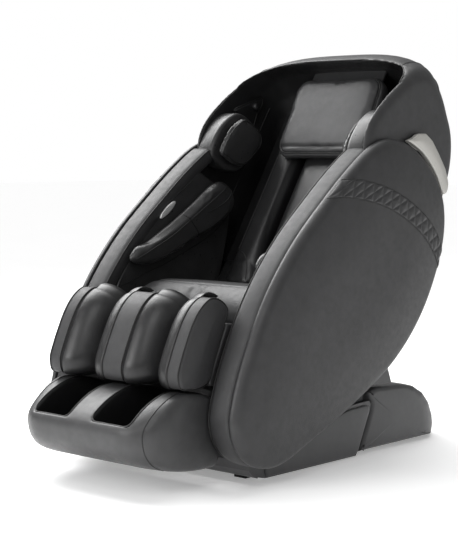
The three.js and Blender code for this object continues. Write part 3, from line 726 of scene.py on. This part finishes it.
QUILT_UPPER = mm([(14, 861), (50, 862), (119, 853), (205, 833), (293, 800), (385, 752), (466, 690),
                  (524, 622)])
QUILT_LOWER = mm([(-53, 808), (15, 808), (137, 790), (235, 760), (324, 719), (404, 668), (468, 612),
                  (506, 566)])
QUILT_PITCH = 0.044


def quilt_strip(side, name):
    """The sewn diamond band across the pod, between two seams."""
    columns, rows = 300, 21
    upper = smooth_line(QUILT_UPPER, columns)
    lower = smooth_line(QUILT_LOWER, columns)
    middle = (upper + lower) / 2
    along = np.concatenate([[0], np.cumsum(np.linalg.norm(np.diff(middle, axis=0), axis=1))])
    across = np.linspace(0, 1, rows)
    flat = lower[None] + (upper - lower)[None] * across[:, None, None]
    phase = along[None] / QUILT_PITCH
    first = np.abs(np.sin(math.pi * (phase + across[:, None])))
    second = np.abs(np.sin(math.pi * (phase - across[:, None])))
    edge = np.clip(np.minimum(across, 1 - across) / 0.06, 0, 1)[:, None]
    puffed = 0.0042 * np.minimum(first, second) ** 0.55 * edge
    height = pod_height(flat.reshape(-1, 2)).reshape(rows, columns) - 0.0012 + puffed
    top = at_side(side)(np.column_stack([flat.reshape(-1, 2), height.ravel()]))
    under = at_side(side)(np.column_stack([flat.reshape(-1, 2), height.ravel() * 0 + SHELL_IN + 0.01]))
    obj = sheet(f"quilt_{name}", top, under, rows, MATERIALS["leather"])
    piece(obj, "seat")
    for label, line in (("upper", QUILT_UPPER), ("lower", QUILT_LOWER)):
        path = smooth_line(line, 120)
        height = pod_height(path) + 0.0002
        cord(f"quilt_seam_{label}_{name}", at_side(side)(np.column_stack([path, height])), SEAM, "seat")


def band_line(count=120):
    """The pod's front and top edge, from the top rear round the front to the bottom."""
    return resample(part_of(POD_OUTLINE, BAND_TOP, BAND_BOTTOM), count)


def pod_band(side, name):
    line = band_line()
    inward = offset(line, 1.0) - line
    path = at_side(side)(np.column_stack([line + inward * 0.003, np.zeros(len(line))]))
    normals = at_side(1)(np.column_stack([-inward, np.zeros(len(line))]))
    low, high = BAND_IN - BAND_EXTRA, BAND_OUT - 0.0004
    thick, flank = 0.020, 0.044
    section = [(low + 0.004, -flank), (low, -flank + 0.004), (low, -0.009), (low + 0.003, -0.003)]
    for share in np.linspace(0.12, 0.88, 9):
        section.append((low + (high - low) * share, 0.0035 * math.sin(math.pi * share)))
    section += [(high - 0.003, -0.003), (high, -0.009), (high, -thick + 0.004), (high - 0.004, -thick)]
    obj = strip(f"pod_band_pad_{name}", path, normals, (side, 0, 0), section, MATERIALS["band"])
    piece(obj, "seat", [f"pod_band_{name}"])
    for label, at, sink in (("outer", BAND_OUT + 0.002, 0.003),
                            ("inner", BAND_IN - BAND_EXTRA + 0.0005, 0.006)):
        edge = at_side(side)(np.column_stack([line + inward * sink, np.full(len(line), at)]))
        cord(f"pod_piping_{label}_{name}", edge, PIPING, "seat")


# ---- arms -------------------------------------------------------------------------------------------
ARM_PANEL = mm([(96, 884), (42, 846), (-50, 773), (-133, 700), (-200, 627), (-256, 550), (-300, 466),
                (-362, 358), (-412, 254), (-400, 150), (-340, 104), (-262, 104), (-130, 134), (-12, 184),
                (120, 246), (150, 330), (168, 440), (214, 560), (246, 680), (254, 760), (236, 806)])
SLEEVE = mm([(-240, 607), (-233, 622), (-212, 646), (-181, 660), (-110, 696), (-36, 736), (49, 788),
             (130, 838), (190, 846), (236, 812), (243, 762), (206, 722), (140, 682), (42, 646), (-60, 606),
             (-144, 584), (-192, 586), (-223, 595)])
SLEEVE_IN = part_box("forearm_pad_left")[0].x


def arm(side, name):
    place = at_side(side)
    outline = resample(ARM_PANEL, 150, True)
    # The wall takes the lightened arm leather, painted light against the shade in the arm recess.
    panel = pad(f"arm_wall_{name}", outline, lambda p: place(flipped(p, PANEL_IN + PANEL_OUT)), PANEL_IN,
                PANEL_OUT, MATERIALS["shade_lifted_arm_leather"], 0.005, 0.003, 0.05)
    piece(panel, "seat", [f"arm_panel_{name}"])


def flipped(p, total):
    """Heights turned round, so that a pad's crowned face looks towards the middle plane."""
    return np.column_stack([p[:, :2], total - p[:, 2]])


def sleeve(side, name, source):
    """The padded forearm massager on the inside of the arm."""
    if source is not None:
        return mirrored(source, f"forearm_sleeve_{name}")
    outline = smooth_line(SLEEVE, 110, True)
    total = SLEEVE_IN + PANEL_IN
    place = at_side(side)
    # The sleeve takes the lightened arm leather, painted light against the shade in the arm recess.
    obj = pad(f"forearm_sleeve_{name}", outline, lambda p: place(flipped(p, total)), SLEEVE_IN + 0.008,
              PANEL_IN - 0.001, MATERIALS["shade_lifted_arm_leather"], 0.020, 0.003, 0.05)
    return inflate(obj, 0.008, 0.005)


def make_arms():
    source = None
    for name, side in SIDES:
        arm(side, name)
        obj = sleeve(side, name, source)
        source = source or obj
        piece(obj, "seat", [f"forearm_pad_{name}"])
        arm_seams(side, name, obj)


ARM_SEAMS = {
    "ridge": mm([(-226, 606), (-170, 634), (-80, 672), (0, 716), (90, 768), (190, 826)]),
    "short": mm([(96, 744), (150, 764), (200, 792), (232, 822)]),
    "cross": mm([(-10, 752), (20, 716), (50, 680), (62, 650)]),
    "low": mm([(-150, 560), (-60, 584), (42, 622), (130, 656), (200, 694), (244, 740)]),
    "slot": mm([(-266, 566), (-276, 546), (-262, 532), (-212, 540), (-150, 560)]),
    "panel": mm([(-60, 760), (-30, 790), (20, 822), (70, 850)]),
}


def arm_seams(side, name, sleeve_pad):
    """The piped seams of the sleeve and of the arm's lining round it."""
    wall = bpy.data.objects[f"arm_wall_{name}"]
    for label, points in ARM_SEAMS.items():
        path = smooth_line(points, 60)
        target = sleeve_pad if label in ("ridge", "short", "cross") else wall
        start = at_side(side)(np.column_stack([path, np.full(len(path), SLEEVE_IN - 0.01)]))
        cord(f"arm_seam_{label}_{name}", cling(start, target, 0.0003), FINE_PIPING, "seat")


BADGE_AT = (-0.050, 0.757)
BADGE_HALF = (0.043, 0.0105)
BADGE_LEAN = math.radians(37)


def make_badge():
    angles = np.linspace(0, 2 * math.pi, 48, endpoint=False)
    a, b = BADGE_HALF[0] * np.cos(angles), BADGE_HALF[1] * np.sin(angles)
    outline = np.column_stack([BADGE_AT[0] + a * math.cos(BADGE_LEAN) - b * math.sin(BADGE_LEAN),
                               BADGE_AT[1] + a * math.sin(BADGE_LEAN) + b * math.cos(BADGE_LEAN)])
    place = at_side(-1)
    total = PANEL_IN * 2 - 0.0125
    obj = pad("blank_badge", outline, lambda p: place(flipped(p, total)), PANEL_IN - 0.0095, PANEL_IN - 0.003,
              MATERIALS["chrome"], 0.002, 0.0012, 0.010, rings=14)
    piece(obj, "seat", ["badge"])


# ---- trims ------------------------------------------------------------------------------------------
TRIM_LOW = mm([(340, 971), (411, 939), (488, 872), (534, 802)])
TRIM_HIGH = mm([(560, 812), (566, 842), (546, 890), (508, 938), (472, 978), (438, 998), (400, 998),
                (372, 984)])


def make_trims():
    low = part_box("trim_left")[0].x
    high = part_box("trim_left")[1].x
    outline = np.vstack([offset(smooth_line(TRIM_LOW, 30), 0.006), TRIM_HIGH])
    outline = smooth_line(resample(outline, 44, True), 132, True)
    for name, side in SIDES:
        obj = pad(f"trim_cap_{name}", outline, at_side(side), low, high + 0.004, MATERIALS["trim"], 0.004,
                  0.004, 0.03)
        piece(obj, "seat", [f"trim_{name}"])


# ---- seat -------------------------------------------------------------------------------------------
SEAT_TOP = mm([(-246, 402), (-254, 440), (-252, 476), (-240, 502), (-216, 522), (-186, 531), (-120, 532),
               (-20, 524), (60, 512), (104, 502), (116, 484), (116, 402)])


def across_seat(p):
    """Side-view outlines swept across the chair: the height is x."""
    return np.stack([p[:, 2], p[:, 0], p[:, 1]], axis=1)


def make_seat():
    low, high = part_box("seat_cushion")
    outline = resample(SEAT_TOP, 120, True)
    obj = pad("seat_pad", outline, across_seat, low.x + 0.004, high.x - 0.004, MATERIALS["leather"], 0.024, 0,
              0.1, rings=20)
    inflate(obj, 0.014, 0.007)
    across = np.linspace(low.x + 0.012, high.x - 0.012, 90)
    for label, (y, z) in {"front_roll": (-0.170, 0.60), "back_line": (0.070, 0.58)}.items():
        start = np.stack([across, np.full(90, y), np.full(90, z)], axis=1)
        path = cling(start, obj)
        press(obj, path, 0.012, 0.006)
        cord(f"seat_seam_{label}", cling(path, obj, 0.0006), SEAM, "seat")
    piece(obj, "seat", ["seat_cushion"])


# ---- backrest ---------------------------------------------------------------------------------------
HOOD_OUTER = mm([(-84, 110), (-118, 190), (-172, 290), (-220, 366), (-248, 428), (-250, 492), (-226, 574),
                 (-190, 656), (-154, 716), (-114, 756), (-64, 782), (-6, 790), (70, 776), (140, 732),
                 (190, 640), (216, 520), (222, 390), (206, 280), (172, 190), (84, 136)])
HOOD_CAVITY = mm([(-400, -60), (-400, 700), (-200, 708), (-130, 726), (-60, 744), (10, 738), (70, 712),
                  (122, 658), (160, 576), (190, 490), (196, 382), (182, 284), (148, 212), (120, 168),
                  (120, -60)])
CROWN_ARCH = 0.085
LINING_DEPTH = 0.034
WALL_IN = 0.336


def arched(x, ring):
    """A ring of the hood at x: the crown arches up in the middle and falls away towards the sides."""
    side = min(abs(x) / WING_OUT, 1)
    share = np.clip((ring[:, 1] - 0.50) / 0.33, 0, 1)
    share = share * share * (3 - 2 * share)
    rear = np.clip((ring[:, 0] + 0.06) / 0.16, 0, 1)
    fall = 0.010 * side**6 + 0.060 * side**4 * rear
    length = ring[:, 1] + (CROWN_ARCH * (1 - side**3.4) - fall) * share
    return back_points(x, ring[:, 0], length)


def hood_loft(name, outline, half, radius):
    rings = rounded_rings(half, radius, 7, np.linspace(half - radius - 0.03, 0.03, 7),
                          lambda x, inward: arched(x, offset(outline, inward, True)))
    return loft(name, rings, MATERIALS["leather"])


def make_hood():
    outer = hood_loft("hood", smooth_line(HOOD_OUTER[::-1], 120, True), WING_OUT - 0.001, 0.034)
    cavity = hood_loft("hood_cavity", resample(HOOD_CAVITY[::-1], 140, True), WALL_IN, 0.050)
    carve(outer, cavity)
    remesh(outer, 0.0050)
    soften(outer, 16)
    outer.data.materials.append(MATERIALS["inner_leather"])
    line_hood(outer)
    piece(outer, "backrest", ["back_shell"])
    hood_seams(outer)
    return outer


def hood_seams(hood):
    """The piping where the lining starts, and the seams beside the crown."""
    rim = lining_outline()
    rim = part_of(rim[::-1], (-0.090, 0.120), (0.000, 0.780))
    rim = resample(rim[rim[:, 0] < 0.0], 90)
    top = rim[-1]
    left = back_points(WALL_IN + 0.004, rim[:, 0], rim[:, 1])
    cross = arched_line(np.linspace(WALL_IN - 0.004, 0.004 - WALL_IN, 90), top)
    right = left[::-1] * np.array([-1, 1, 1])
    path = cling(resample(np.vstack([left, cross, right]), 260), hood, 0.0004)
    cord("hood_lining_piping", soft_line(path, 4), 0.0026, "backrest")
    around = smooth_line(HOOD_OUTER[4:16], 110)
    for name, side in SIDES:
        start = np.vstack([arched(side * 0.292, p[None])[0] for p in around])
        cord(f"hood_seam_{name}", cling(start, hood, 0.0002), SEAM, "backrest")


def arched_line(xs, point):
    return np.vstack([arched(x, np.array([point]))[0] for x in xs])


def soft_line(path, repeats):
    """A line with its small kinks averaged out."""
    path = np.array(path, float)
    for _ in range(repeats):
        path[1:-1] = (path[:-2] + 2 * path[1:-1] + path[2:]) / 4
    return path


def line_hood(obj):
    """Gives the faces inside the hood the lining's leather."""
    centres = np.empty(len(obj.data.polygons) * 3)
    obj.data.polygons.foreach_get("center", centres)
    centres = centres.reshape(-1, 3)
    normals = np.empty(len(obj.data.polygons) * 3)
    obj.data.polygons.foreach_get("normal", normals)
    normals = normals.reshape(-1, 3)
    local = to_back(centres[:, 1:])
    inner = lining_outline()
    inside = points_inside(local, inner) & (np.abs(centres[:, 0]) < WING_OUT - 0.010)
    facing = normals[:, 0] * np.sign(centres[:, 0]) < 0.35
    index = (inside & facing).astype(np.int32)
    obj.data.polygons.foreach_set("material_index", index)


def lining_outline():
    """Where the lining starts, inside the hood's front edge, seen from the side."""
    return offset(smooth_line(HOOD_OUTER, 120, True), LINING_DEPTH, True)


def points_inside(points, outline):
    inside = np.zeros(len(points), bool)
    for (x0, y0), (x1, y1) in zip(outline, np.roll(outline, -1, axis=0)):
        crosses = (y0 > points[:, 1]) != (y1 > points[:, 1])
        with np.errstate(divide="ignore", invalid="ignore"):
            at = x0 + (points[:, 1] - y0) * (x1 - x0) / (y1 - y0)
        inside ^= crosses & (points[:, 0] < at)
    return inside


def back_pad(name, width, x, v0, v1, low, high, radius, crown, material="inner_leather", cap=0.010):
    outline = round_box(width, v1 - v0, min(0.03, width / 3)) + np.array([x, (v0 + v1) / 2])
    outline = resample(outline, 130, True)
    obj = pad(name, outline, on_back, low, high, MATERIALS[material], radius, crown, 0.05, rings=20)
    return inflate(obj, cap, 0.006)


BOLSTER_SEAMS = {
    "hip": mm([(214, 132), (186, 130), (152, 112), (124, 72), (113, 20)]),
    "side": mm([(206, 136), (205, 260), (204, 420), (203, 600), (203, 740)]),
}


def make_back_pads():
    # The back pads take the dark inner leather, kept darker as painted shade against the light they face.
    centre = back_pad("back_centre_cushion", 0.186, 0, 0.018, 0.750, -0.022, -0.004, 0.008, 0.003, cap=0.006)
    piece(centre, "backrest", ["back_centre_pad"])
    left = back_pad("back_bolster_pad_left", 0.118, 0.1625, 0.010, 0.752, -0.058, 0.002, 0.022, 0.004)
    right = mirrored(left, "back_bolster_pad_right")
    for obj, name in ((left, "left"), (right, "right")):
        piece(obj, "backrest", [f"back_bolster_{name}"])
        side = 1 if name == "left" else -1
        for label, points in BOLSTER_SEAMS.items():
            line = smooth_line(points, 60)
            start = on_back(np.column_stack([side * line[:, 0], line[:, 1], np.full(60, 0.03)]))
            cord(f"bolster_seam_{label}_{name}", cling(start, obj, 0.0002), SEAM, "backrest")


PILLOW = {"v": 0.628, "width": 0.378, "height": 0.304, "back": 0.012, "front": 0.076, "corner": 0.060}


def wedge(p):
    """Heights of the pillow, thinner towards its bottom edge."""
    share = np.clip((p[:, 1] - PILLOW["v"]) / PILLOW["height"] + 0.5, 0, 1)
    depth = (p[:, 2] - PILLOW["back"]) * (0.56 + 0.44 * share)
    return np.column_stack([p[:, :2], PILLOW["back"] + depth])


def make_pillow():
    shape = round_box(PILLOW["width"], PILLOW["height"], PILLOW["corner"], 8)
    outline = resample(shape + np.array([0, PILLOW["v"]]), 150, True)
    obj = pad("head_pillow", outline, lambda p: on_back(wedge(p)), PILLOW["back"], PILLOW["front"],
              MATERIALS["leather"], 0.024, 0.008, 0.12, 0.0, rings=24)
    inflate(obj, 0.009, 0.006)
    edge = resample(shape * np.array([0.955, 0.94]) + np.array([0, PILLOW["v"]]), 160, True)
    start = on_back(wedge(np.column_stack([edge, np.full(len(edge), PILLOW["front"] + 0.004)])))
    path = cling(start, obj)
    press(obj, np.vstack([path, path[:1]]), 0.008, 0.003)
    piping = tube("pillow_piping", cling(path, obj, 0.0010), PIPING, MATERIALS["piping"], closed=True)
    fold = np.column_stack([np.linspace(-0.168, 0.168, 60), np.full(60, PILLOW["v"] - 0.118)])
    start = on_back(wedge(np.column_stack([fold, np.full(60, PILLOW["front"] + 0.01)])))
    path = cling(start, obj)
    press(obj, path, 0.012, 0.005)
    flap = round_box(0.300, 0.075, 0.012, 4) + np.array([0, 0.796])
    strap = pad("pillow_flap", resample(flap, 90, True), on_back, 0.036, 0.046, MATERIALS["leather"], 0.004,
                0.001, 0.02)
    piece(obj, "pillow", ["pillow"])
    piece(piping, "pillow")
    piece(strap, "pillow")


SHOULDER = mm([(-216, 402), (-218, 452), (-204, 510), (-176, 550), (-128, 564), (-70, 554), (-46, 526),
               (-56, 470), (-84, 412), (-122, 388), (-178, 380), (-208, 384)])
NICHE = mm([(-156, 590), (-120, 640), (-62, 706), (-50, 690), (-54, 640), (-46, 580), (-60, 568),
            (-100, 592)])
KNOB = (-0.081, 0.657)


def shoulder_piece(side, name, outline, low, high, material, radius, crown, reach):
    place = in_wing(side)
    total = low + high
    return pad(name, outline, lambda p: place(flipped(p, total)), low, high, MATERIALS[material], radius, crown,
               reach, rings=22)


def make_shoulders():
    inner = smooth_line(SHOULDER, 120, True)
    outer = offset(inner, 0.013 if area(inner) < 0 else -0.013, True)
    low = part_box("shoulder_pad_left")[0].x
    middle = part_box("shoulder_pad_left")[1].x
    source = None
    for name, side in SIDES:
        # Rim and cushion take the lightened arm leather, painted light against the shade in the recess.
        house = shoulder_piece(side, f"shoulder_rim_{name}", outer, middle + 0.014, WALL_IN + 0.006,
                              "shade_lifted_arm_leather", 0.012, 0, 0.05)
        piece(house, "backrest", [f"shoulder_housing_{name}"])
        if source is None:
            obj = shoulder_piece(side, f"shoulder_cushion_{name}", inner, low + 0.014, middle, "shade_lifted_arm_leather",
                                 0.012, 0.004, 0.06)
            source = inflate(obj, 0.006, 0.005)
        else:
            obj = mirrored(source, f"shoulder_cushion_{name}")
        piece(obj, "backrest", [f"shoulder_pad_{name}"])
        start = in_wing(side)(np.column_stack([offset(inner, -0.004 if area(inner) < 0 else 0.004, True),
                                               np.full(120, low)]))
        cord(f"shoulder_piping_{name}", cling(start, obj, 0.0006), FINE_PIPING, "backrest", closed=True)


def make_speakers():
    """The speaker's shallow three-cornered niche in the lining, with its round tweeter."""
    niche = smooth_line(NICHE, 90, True)
    grow = 1 if area(niche) < 0 else -1
    angles = np.linspace(0, 2 * math.pi, 40, endpoint=False)
    ring = np.column_stack([KNOB[0] + np.cos(angles) * 0.013, KNOB[1] + np.sin(angles) * 0.013])
    for name, side in SIDES:
        plate = shoulder_piece(side, f"speaker_niche_{name}", niche, WALL_IN - 0.014, WALL_IN + 0.004,
                               "inner_leather", 0.008, 0, 0.05)
        edge = offset(niche, grow * 0.001, True)
        cord(f"speaker_rim_{name}", in_wing(side)(np.column_stack([edge, np.full(90, WALL_IN - 0.010)])),
             PIPING, "backrest", closed=True)
        knob = shoulder_piece(side, f"speaker_dome_{name}", ring, WALL_IN - 0.026, WALL_IN - 0.010,
                              "dark_plastic", 0.005, 0.003, 0.012)
        piece(plate, "backrest")
        piece(knob, "backrest", [f"speaker_{name}"])


def area(outline):
    a, b = outline, np.roll(outline, -1, axis=0)
    return 0.5 * (a[:, 0] * b[:, 1] - b[:, 0] * a[:, 1]).sum()


# ---- legrest ----------------------------------------------------------------------------------------
CALF_BACK = mm([(-318, 436), (-338, 458), (-364, 462), (-440, 304), (-432, 290), (-392, 285), (-384, 292)])
FOOT_APRON = mm([(-386, 225), (-383, 268), (-376, 286), (-352, 334), (-345, 331), (-369, 284), (-376, 266),
                 (-379, 225)])


TROUGH_BOTTOM = mm([(-452, 290), (-478, 312), (-468, 356), (-440, 412), (-414, 458), (-394, 474), (-366, 462)])


def calf_lines(count):
    """The lobes' front line and the channels' bottom line, from the bottom to the top, as (y, z) points."""
    lobe = hull_outline("calf_lobe_left", 160, 17)
    front = resample(part_of(lobe[::-1], (-0.470, 0.288), (-0.388, 0.513)), count) + np.array([0.004, -0.003])
    bottom = resample(smooth_line(TROUGH_BOTTOM, 60), count)
    return front, bottom


def make_calf():
    low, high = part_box("calf_lobe_centre")
    inner_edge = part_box("calf_lobe_left")[0].x
    outer_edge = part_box("calf_lobe_left")[1].x - 0.008
    outline = hull_outline("calf_lobe_left", 110, 17)
    spans = {"left": (inner_edge, outer_edge), "centre": (low.x, high.x), "right": (-outer_edge, -inner_edge)}
    for name, (x0, x1) in spans.items():
        obj = pad(f"calf_cushion_{name}", offset(outline, 0.002, True), across_seat, x0 + 0.001, x1 - 0.001,
                  MATERIALS["band"], 0.009, 0.004 if name == "centre" else 0.010, 0.09,
                  0.004 if name == "centre" else 0.010, rings=22)
        piece(obj, "calf", [f"calf_lobe_{name}"])
        edge = resample(outline, 130, True)
        for label, x in (("a", x0 + 0.0045), ("b", x1 - 0.0045)):
            path = np.column_stack([np.full(len(edge), x), offset(edge, 0.0022, True)])
            cord(f"calf_piping_{name}_{label}", path, PIPING, "calf", closed=True)
    for name, side in SIDES:
        calf_channel(side, name, high.x, inner_edge)
    back = pad("calf_back", resample(CALF_BACK, 100, True), across_seat, 0.002 - outer_edge,
               outer_edge - 0.002, MATERIALS["leather"], 0.008, 0, 0.05, rings=14)
    piece(back, "calf", ["calf_shell"])
    apron = pad("foot_apron", resample(FOOT_APRON, 80, True), across_seat, -0.250, 0.250,
                MATERIALS["inner_leather"], 0.0028, 0, 0.05, rings=10)
    piece(apron, "foot")


TROUGH_BACKING = (0.030, 0.012)  # from the trough's face to its hidden rear, as (y, z)


def calf_channel(side, name, x0, x1):
    """The soft trough between two lobes, one curved surface from edge to edge."""
    rows, columns = 60, 61
    front, bottom = calf_lines(rows)
    share = np.linspace(-1, 1, columns)
    share = np.sign(share) * np.abs(share) ** 1.4
    deep = 1 - (1 - (1 - np.abs(share)) ** 2.2) ** 0.75
    x = (x0 + x1) / 2 + share * ((x1 - x0) / 2 - 0.0006)
    surface = front[:, None, :] + (bottom - front)[:, None, :] * deep[None, :, None]
    x_grid = np.broadcast_to(side * x, (rows, columns))
    top = np.concatenate([x_grid[..., None], surface], axis=2).reshape(-1, 3)
    rear = surface + np.array(TROUGH_BACKING)
    under = np.concatenate([x_grid[..., None], rear], axis=2).reshape(-1, 3)
    # The trough takes the dark inner leather as painted shade: it is the lobes' leather, darkened where the
    # channel lies in shadow.
    obj = sheet(f"calf_trough_{name}", top, under, rows, MATERIALS["inner_leather"])
    piece(obj, "calf", [f"calf_pad_{name}"])


FOOT_OUTLINE = mm([(-388, 100), (-386, 210), (-398, 242), (-426, 260), (-475, 275), (-530, 280),
                   (-586, 268), (-638, 244), (-682, 212), (-701, 188), (-703, 164), (-692, 128), (-662, 96),
                   (-610, 74), (-530, 62), (-440, 57), (-406, 62)])
FOOT_WELL = mm([(-404, 330), (-404, 116), (-420, 90), (-600, 90), (-640, 104), (-660, 130), (-672, 160),
                (-683, 190), (-694, 214), (-716, 250), (-720, 330)])
FOOT_PIVOT = -0.52


def foot_line(x, line):
    """A side-view line of the foot unit at x, drawn back at the front towards the corners."""
    share = corner_share(x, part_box("foot_shell")[1].x, 0.115, 0.60, 2.2)
    return drawn_in(x, line, FOOT_PIVOT, -1, share)


def make_foot():
    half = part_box("foot_shell")[1].x
    outline = smooth_line(FOOT_OUTLINE[::-1], 130, True)
    if area(outline) < 0:
        outline = outline[::-1]
    radius = 0.022
    rings = rounded_rings(half, radius, 8, np.linspace(half - radius - 0.012, 0.012, 16),
                          lambda x, inward: foot_line(x, offset(outline, inward, True)))
    # The foot unit takes the lighter strip leather: painted light for its strips lit from above.
    obj = loft("foot_unit", rings, MATERIALS["strip"])
    well_in, well_out = 0.048, 0.192
    wells = []
    for name, side in SIDES:
        outline = resample(FOOT_WELL, 90, True)
        x0, x1 = sorted((side * well_in, side * well_out))
        wells.append(pad(f"well_{name}", outline, across_seat, x0, x1, MATERIALS["inner_leather"], 0.012,
                         rings=8))
    carve(obj, *wells)
    remesh(obj, 0.005)
    soften(obj, 5)
    obj.data.materials.append(MATERIALS["inner_leather"])
    centres = np.empty(len(obj.data.polygons) * 3)
    obj.data.polygons.foreach_get("center", centres)
    centres = centres.reshape(-1, 3)
    well = offset(resample(FOOT_WELL, 90, True), 0.003 if area(FOOT_WELL) < 0 else -0.003, True)
    across = np.abs(centres[:, 0])
    inside = points_inside(centres[:, 1:], well) & (across > well_in - 0.003) & (across < well_out + 0.003)
    obj.data.polygons.foreach_set("material_index", inside.astype(np.int32))
    piece(obj, "foot", ["foot_shell"])
    top = part_of(smooth_line(FOOT_OUTLINE, 200, True)[::-1], (-0.688, 0.206), (-0.404, 0.246))
    if top[0][0] > top[-1][0]:
        top = top[::-1]
    for name, side in SIDES:
        foot_seams(side, name, obj, resample(top, 60), well_in - 0.004, well_out + 0.004)
    for name, side in SIDES:
        x0, x1 = sorted((side * (well_in + 0.004), side * (well_out - 0.004)))
        sole = pad(f"sole_cushion_{name}", resample(SOLE, 90, True), across_seat, x0, x1,
                   MATERIALS["inner_leather"], 0.004, 0, 0.05, rings=12)
        piece(sole, "foot", [f"sole_pad_{name}"])


SOLE = mm([(-414, 122), (-640, 126), (-642, 136), (-560, 139), (-480, 136), (-414, 132)])
FOOT_SEAM_X = 0.234


def foot_seams(side, name, foot, top, inner, outer):
    """The piping round a well and the seam between the foot unit's top strip and its side."""
    def along(x, line):
        return np.column_stack([np.full(len(line), side * x), line])

    front = top[0]
    across = np.linspace(inner + 0.010, outer - 0.010, 24)
    edge = np.column_stack([side * across, np.full(24, front[0]), np.full(24, front[1])])
    path = np.vstack([along(inner, top[3:][::-1]), edge, along(outer, top[3:])])
    cord(f"well_piping_{name}", soft_line(cling(resample(path, 150), foot, 0.0008), 3), PIPING, "foot")
    down = part_of(smooth_line(FOOT_OUTLINE, 200, True), (-0.426, 0.260), (-0.610, 0.074))
    line = foot_line(side * FOOT_SEAM_X, down)
    cord(f"foot_seam_{name}", cling(line, foot, 0.0002), SEAM, "foot")


# ---- base -------------------------------------------------------------------------------------------
def soften_cad(node, width=0.004, segments=3):
    """A bevel on a CAD node's hard edges."""
    obj = frame["nodes"][node]
    modifier = obj.modifiers.new("bevel", "BEVEL")
    modifier.width = width
    modifier.segments = segments
    modifier.limit_method = "ANGLE"
    modifier.angle_limit = math.radians(30)


REAR_BOX = mm([(214, 12), (272, 136), (276, 160), (262, 184), (262, 196), (300, 203), (430, 199),
               (540, 182), (622, 152), (672, 114), (700, 70), (706, 40), (696, 12)])
REAR_PIVOT = 0.46
SKIRT = mm([(-236, 8), (-246, 30), (-226, 58), (-160, 74), (-50, 100), (70, 138), (150, 153), (236, 157),
            (254, 150), (254, 138), (202, 26), (188, 8)])
BRACKET = mm([(205, 214), (384, 209), (362, 262), (322, 318), (268, 330), (220, 300)])
SIDE_FLAP = mm([(100, 62), (113, 62), (116, 220), (102, 220)])
FLAP = mm([(28, -44), (34, -48), (50, -40), (52, 120), (40, 124), (30, 100)])


COVER_LAYER = (0.2845, 0.2930)  # across the chair, beside the pivot plates


def rear_ring(x, half, outline, inward):
    """A side outline of the rear box, drawn forward at the back towards the corners."""
    share = corner_share(x, half, 0.150, 0.62, 2.3)
    return drawn_in(x, offset(outline, inward, True), REAR_PIVOT, 1, share)


def make_rear_box():
    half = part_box("base_rear_cover")[1].x
    outline = resample(REAR_BOX, 150, True)
    if area(outline) < 0:
        outline = outline[::-1]
    radius = 0.016
    rings = rounded_rings(half, radius, 7, np.linspace(half - radius - 0.010, 0.010, 18),
                          lambda x, inward: rear_ring(x, half, outline, inward))
    obj = loft("rear_box", rings, MATERIALS["base_plastic"])
    tools = []
    for node, grow in (("power_inlet", 0.0006), ("rocker_switch", 0.002)):
        low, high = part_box(node)
        (x0, y0, z0), (x1, _, z1) = low, high
        corners = [(x, y, z) for x in (x0 - grow, x1 + grow) for y in (y0 - 0.03, 0.75)
                   for z in (z0 - grow, z1 + grow)]
        faces = [(0, 1, 3, 2), (4, 6, 7, 5), (0, 4, 5, 1), (2, 3, 7, 6), (0, 2, 6, 4), (1, 5, 7, 3)]
        tools.append(new_object(f"{node}_recess", corners, faces, MATERIALS["dark_plastic"]))
    carve(obj, *tools)
    bevel = obj.modifiers.new("bevel", "BEVEL")
    bevel.width = 0.0012
    bevel.segments = 2
    bevel.limit_method = "ANGLE"
    bevel.angle_limit = math.radians(40)
    apply_modifiers(obj)
    piece(obj, "base", ["base_rear_cover"])


def make_base():
    make_rear_box()
    for node in ("base_front_cover", "slide_carriage"):
        soften_cad(node)
    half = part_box("base_front_cover")[1].x
    skirt = smooth_line(resample(SKIRT, 60, True), 150, True)
    bracket = resample(BRACKET, 110, True)
    for name, side in SIDES:
        obj = pad(f"base_skirt_{name}", skirt, at_side(side), half - 0.004, half + 0.005,
                  MATERIALS["base_plastic"], 0.004, 0.002, 0.04, rings=16)
        piece(obj, "base")
        obj = pad(f"carriage_cover_{name}", bracket, at_side(side), *COVER_LAYER, MATERIALS["base_plastic"],
                  0.0025, 0, 0.05, rings=12)
        piece(obj, "carriage")
    flap = pad("waist_flap", resample(FLAP, 70, True), in_wing(1), -0.276, 0.276, MATERIALS["inner_leather"],
               0.005, 0, 0.05, rings=10)
    piece(flap, "backrest")
    for name, side in SIDES:
        obj = pad(f"side_flap_{name}", resample(SIDE_FLAP, 70, True), in_wing(side), 0.196, 0.368,
                  MATERIALS["inner_leather"], 0.005, 0, 0.05, rings=10)
        piece(obj, "backrest")


dress_cad_nodes()
make_camera()
make_stage()
for side_name, side_sign in SIDES:
    pod_shell(side_sign, side_name)
    quilt_strip(side_sign, side_name)
    pod_band(side_sign, side_name)
make_arms()
make_badge()
make_trims()
make_seat()
make_hood()
make_back_pads()
make_pillow()
make_shoulders()
make_speakers()
make_calf()
make_foot()
make_base()
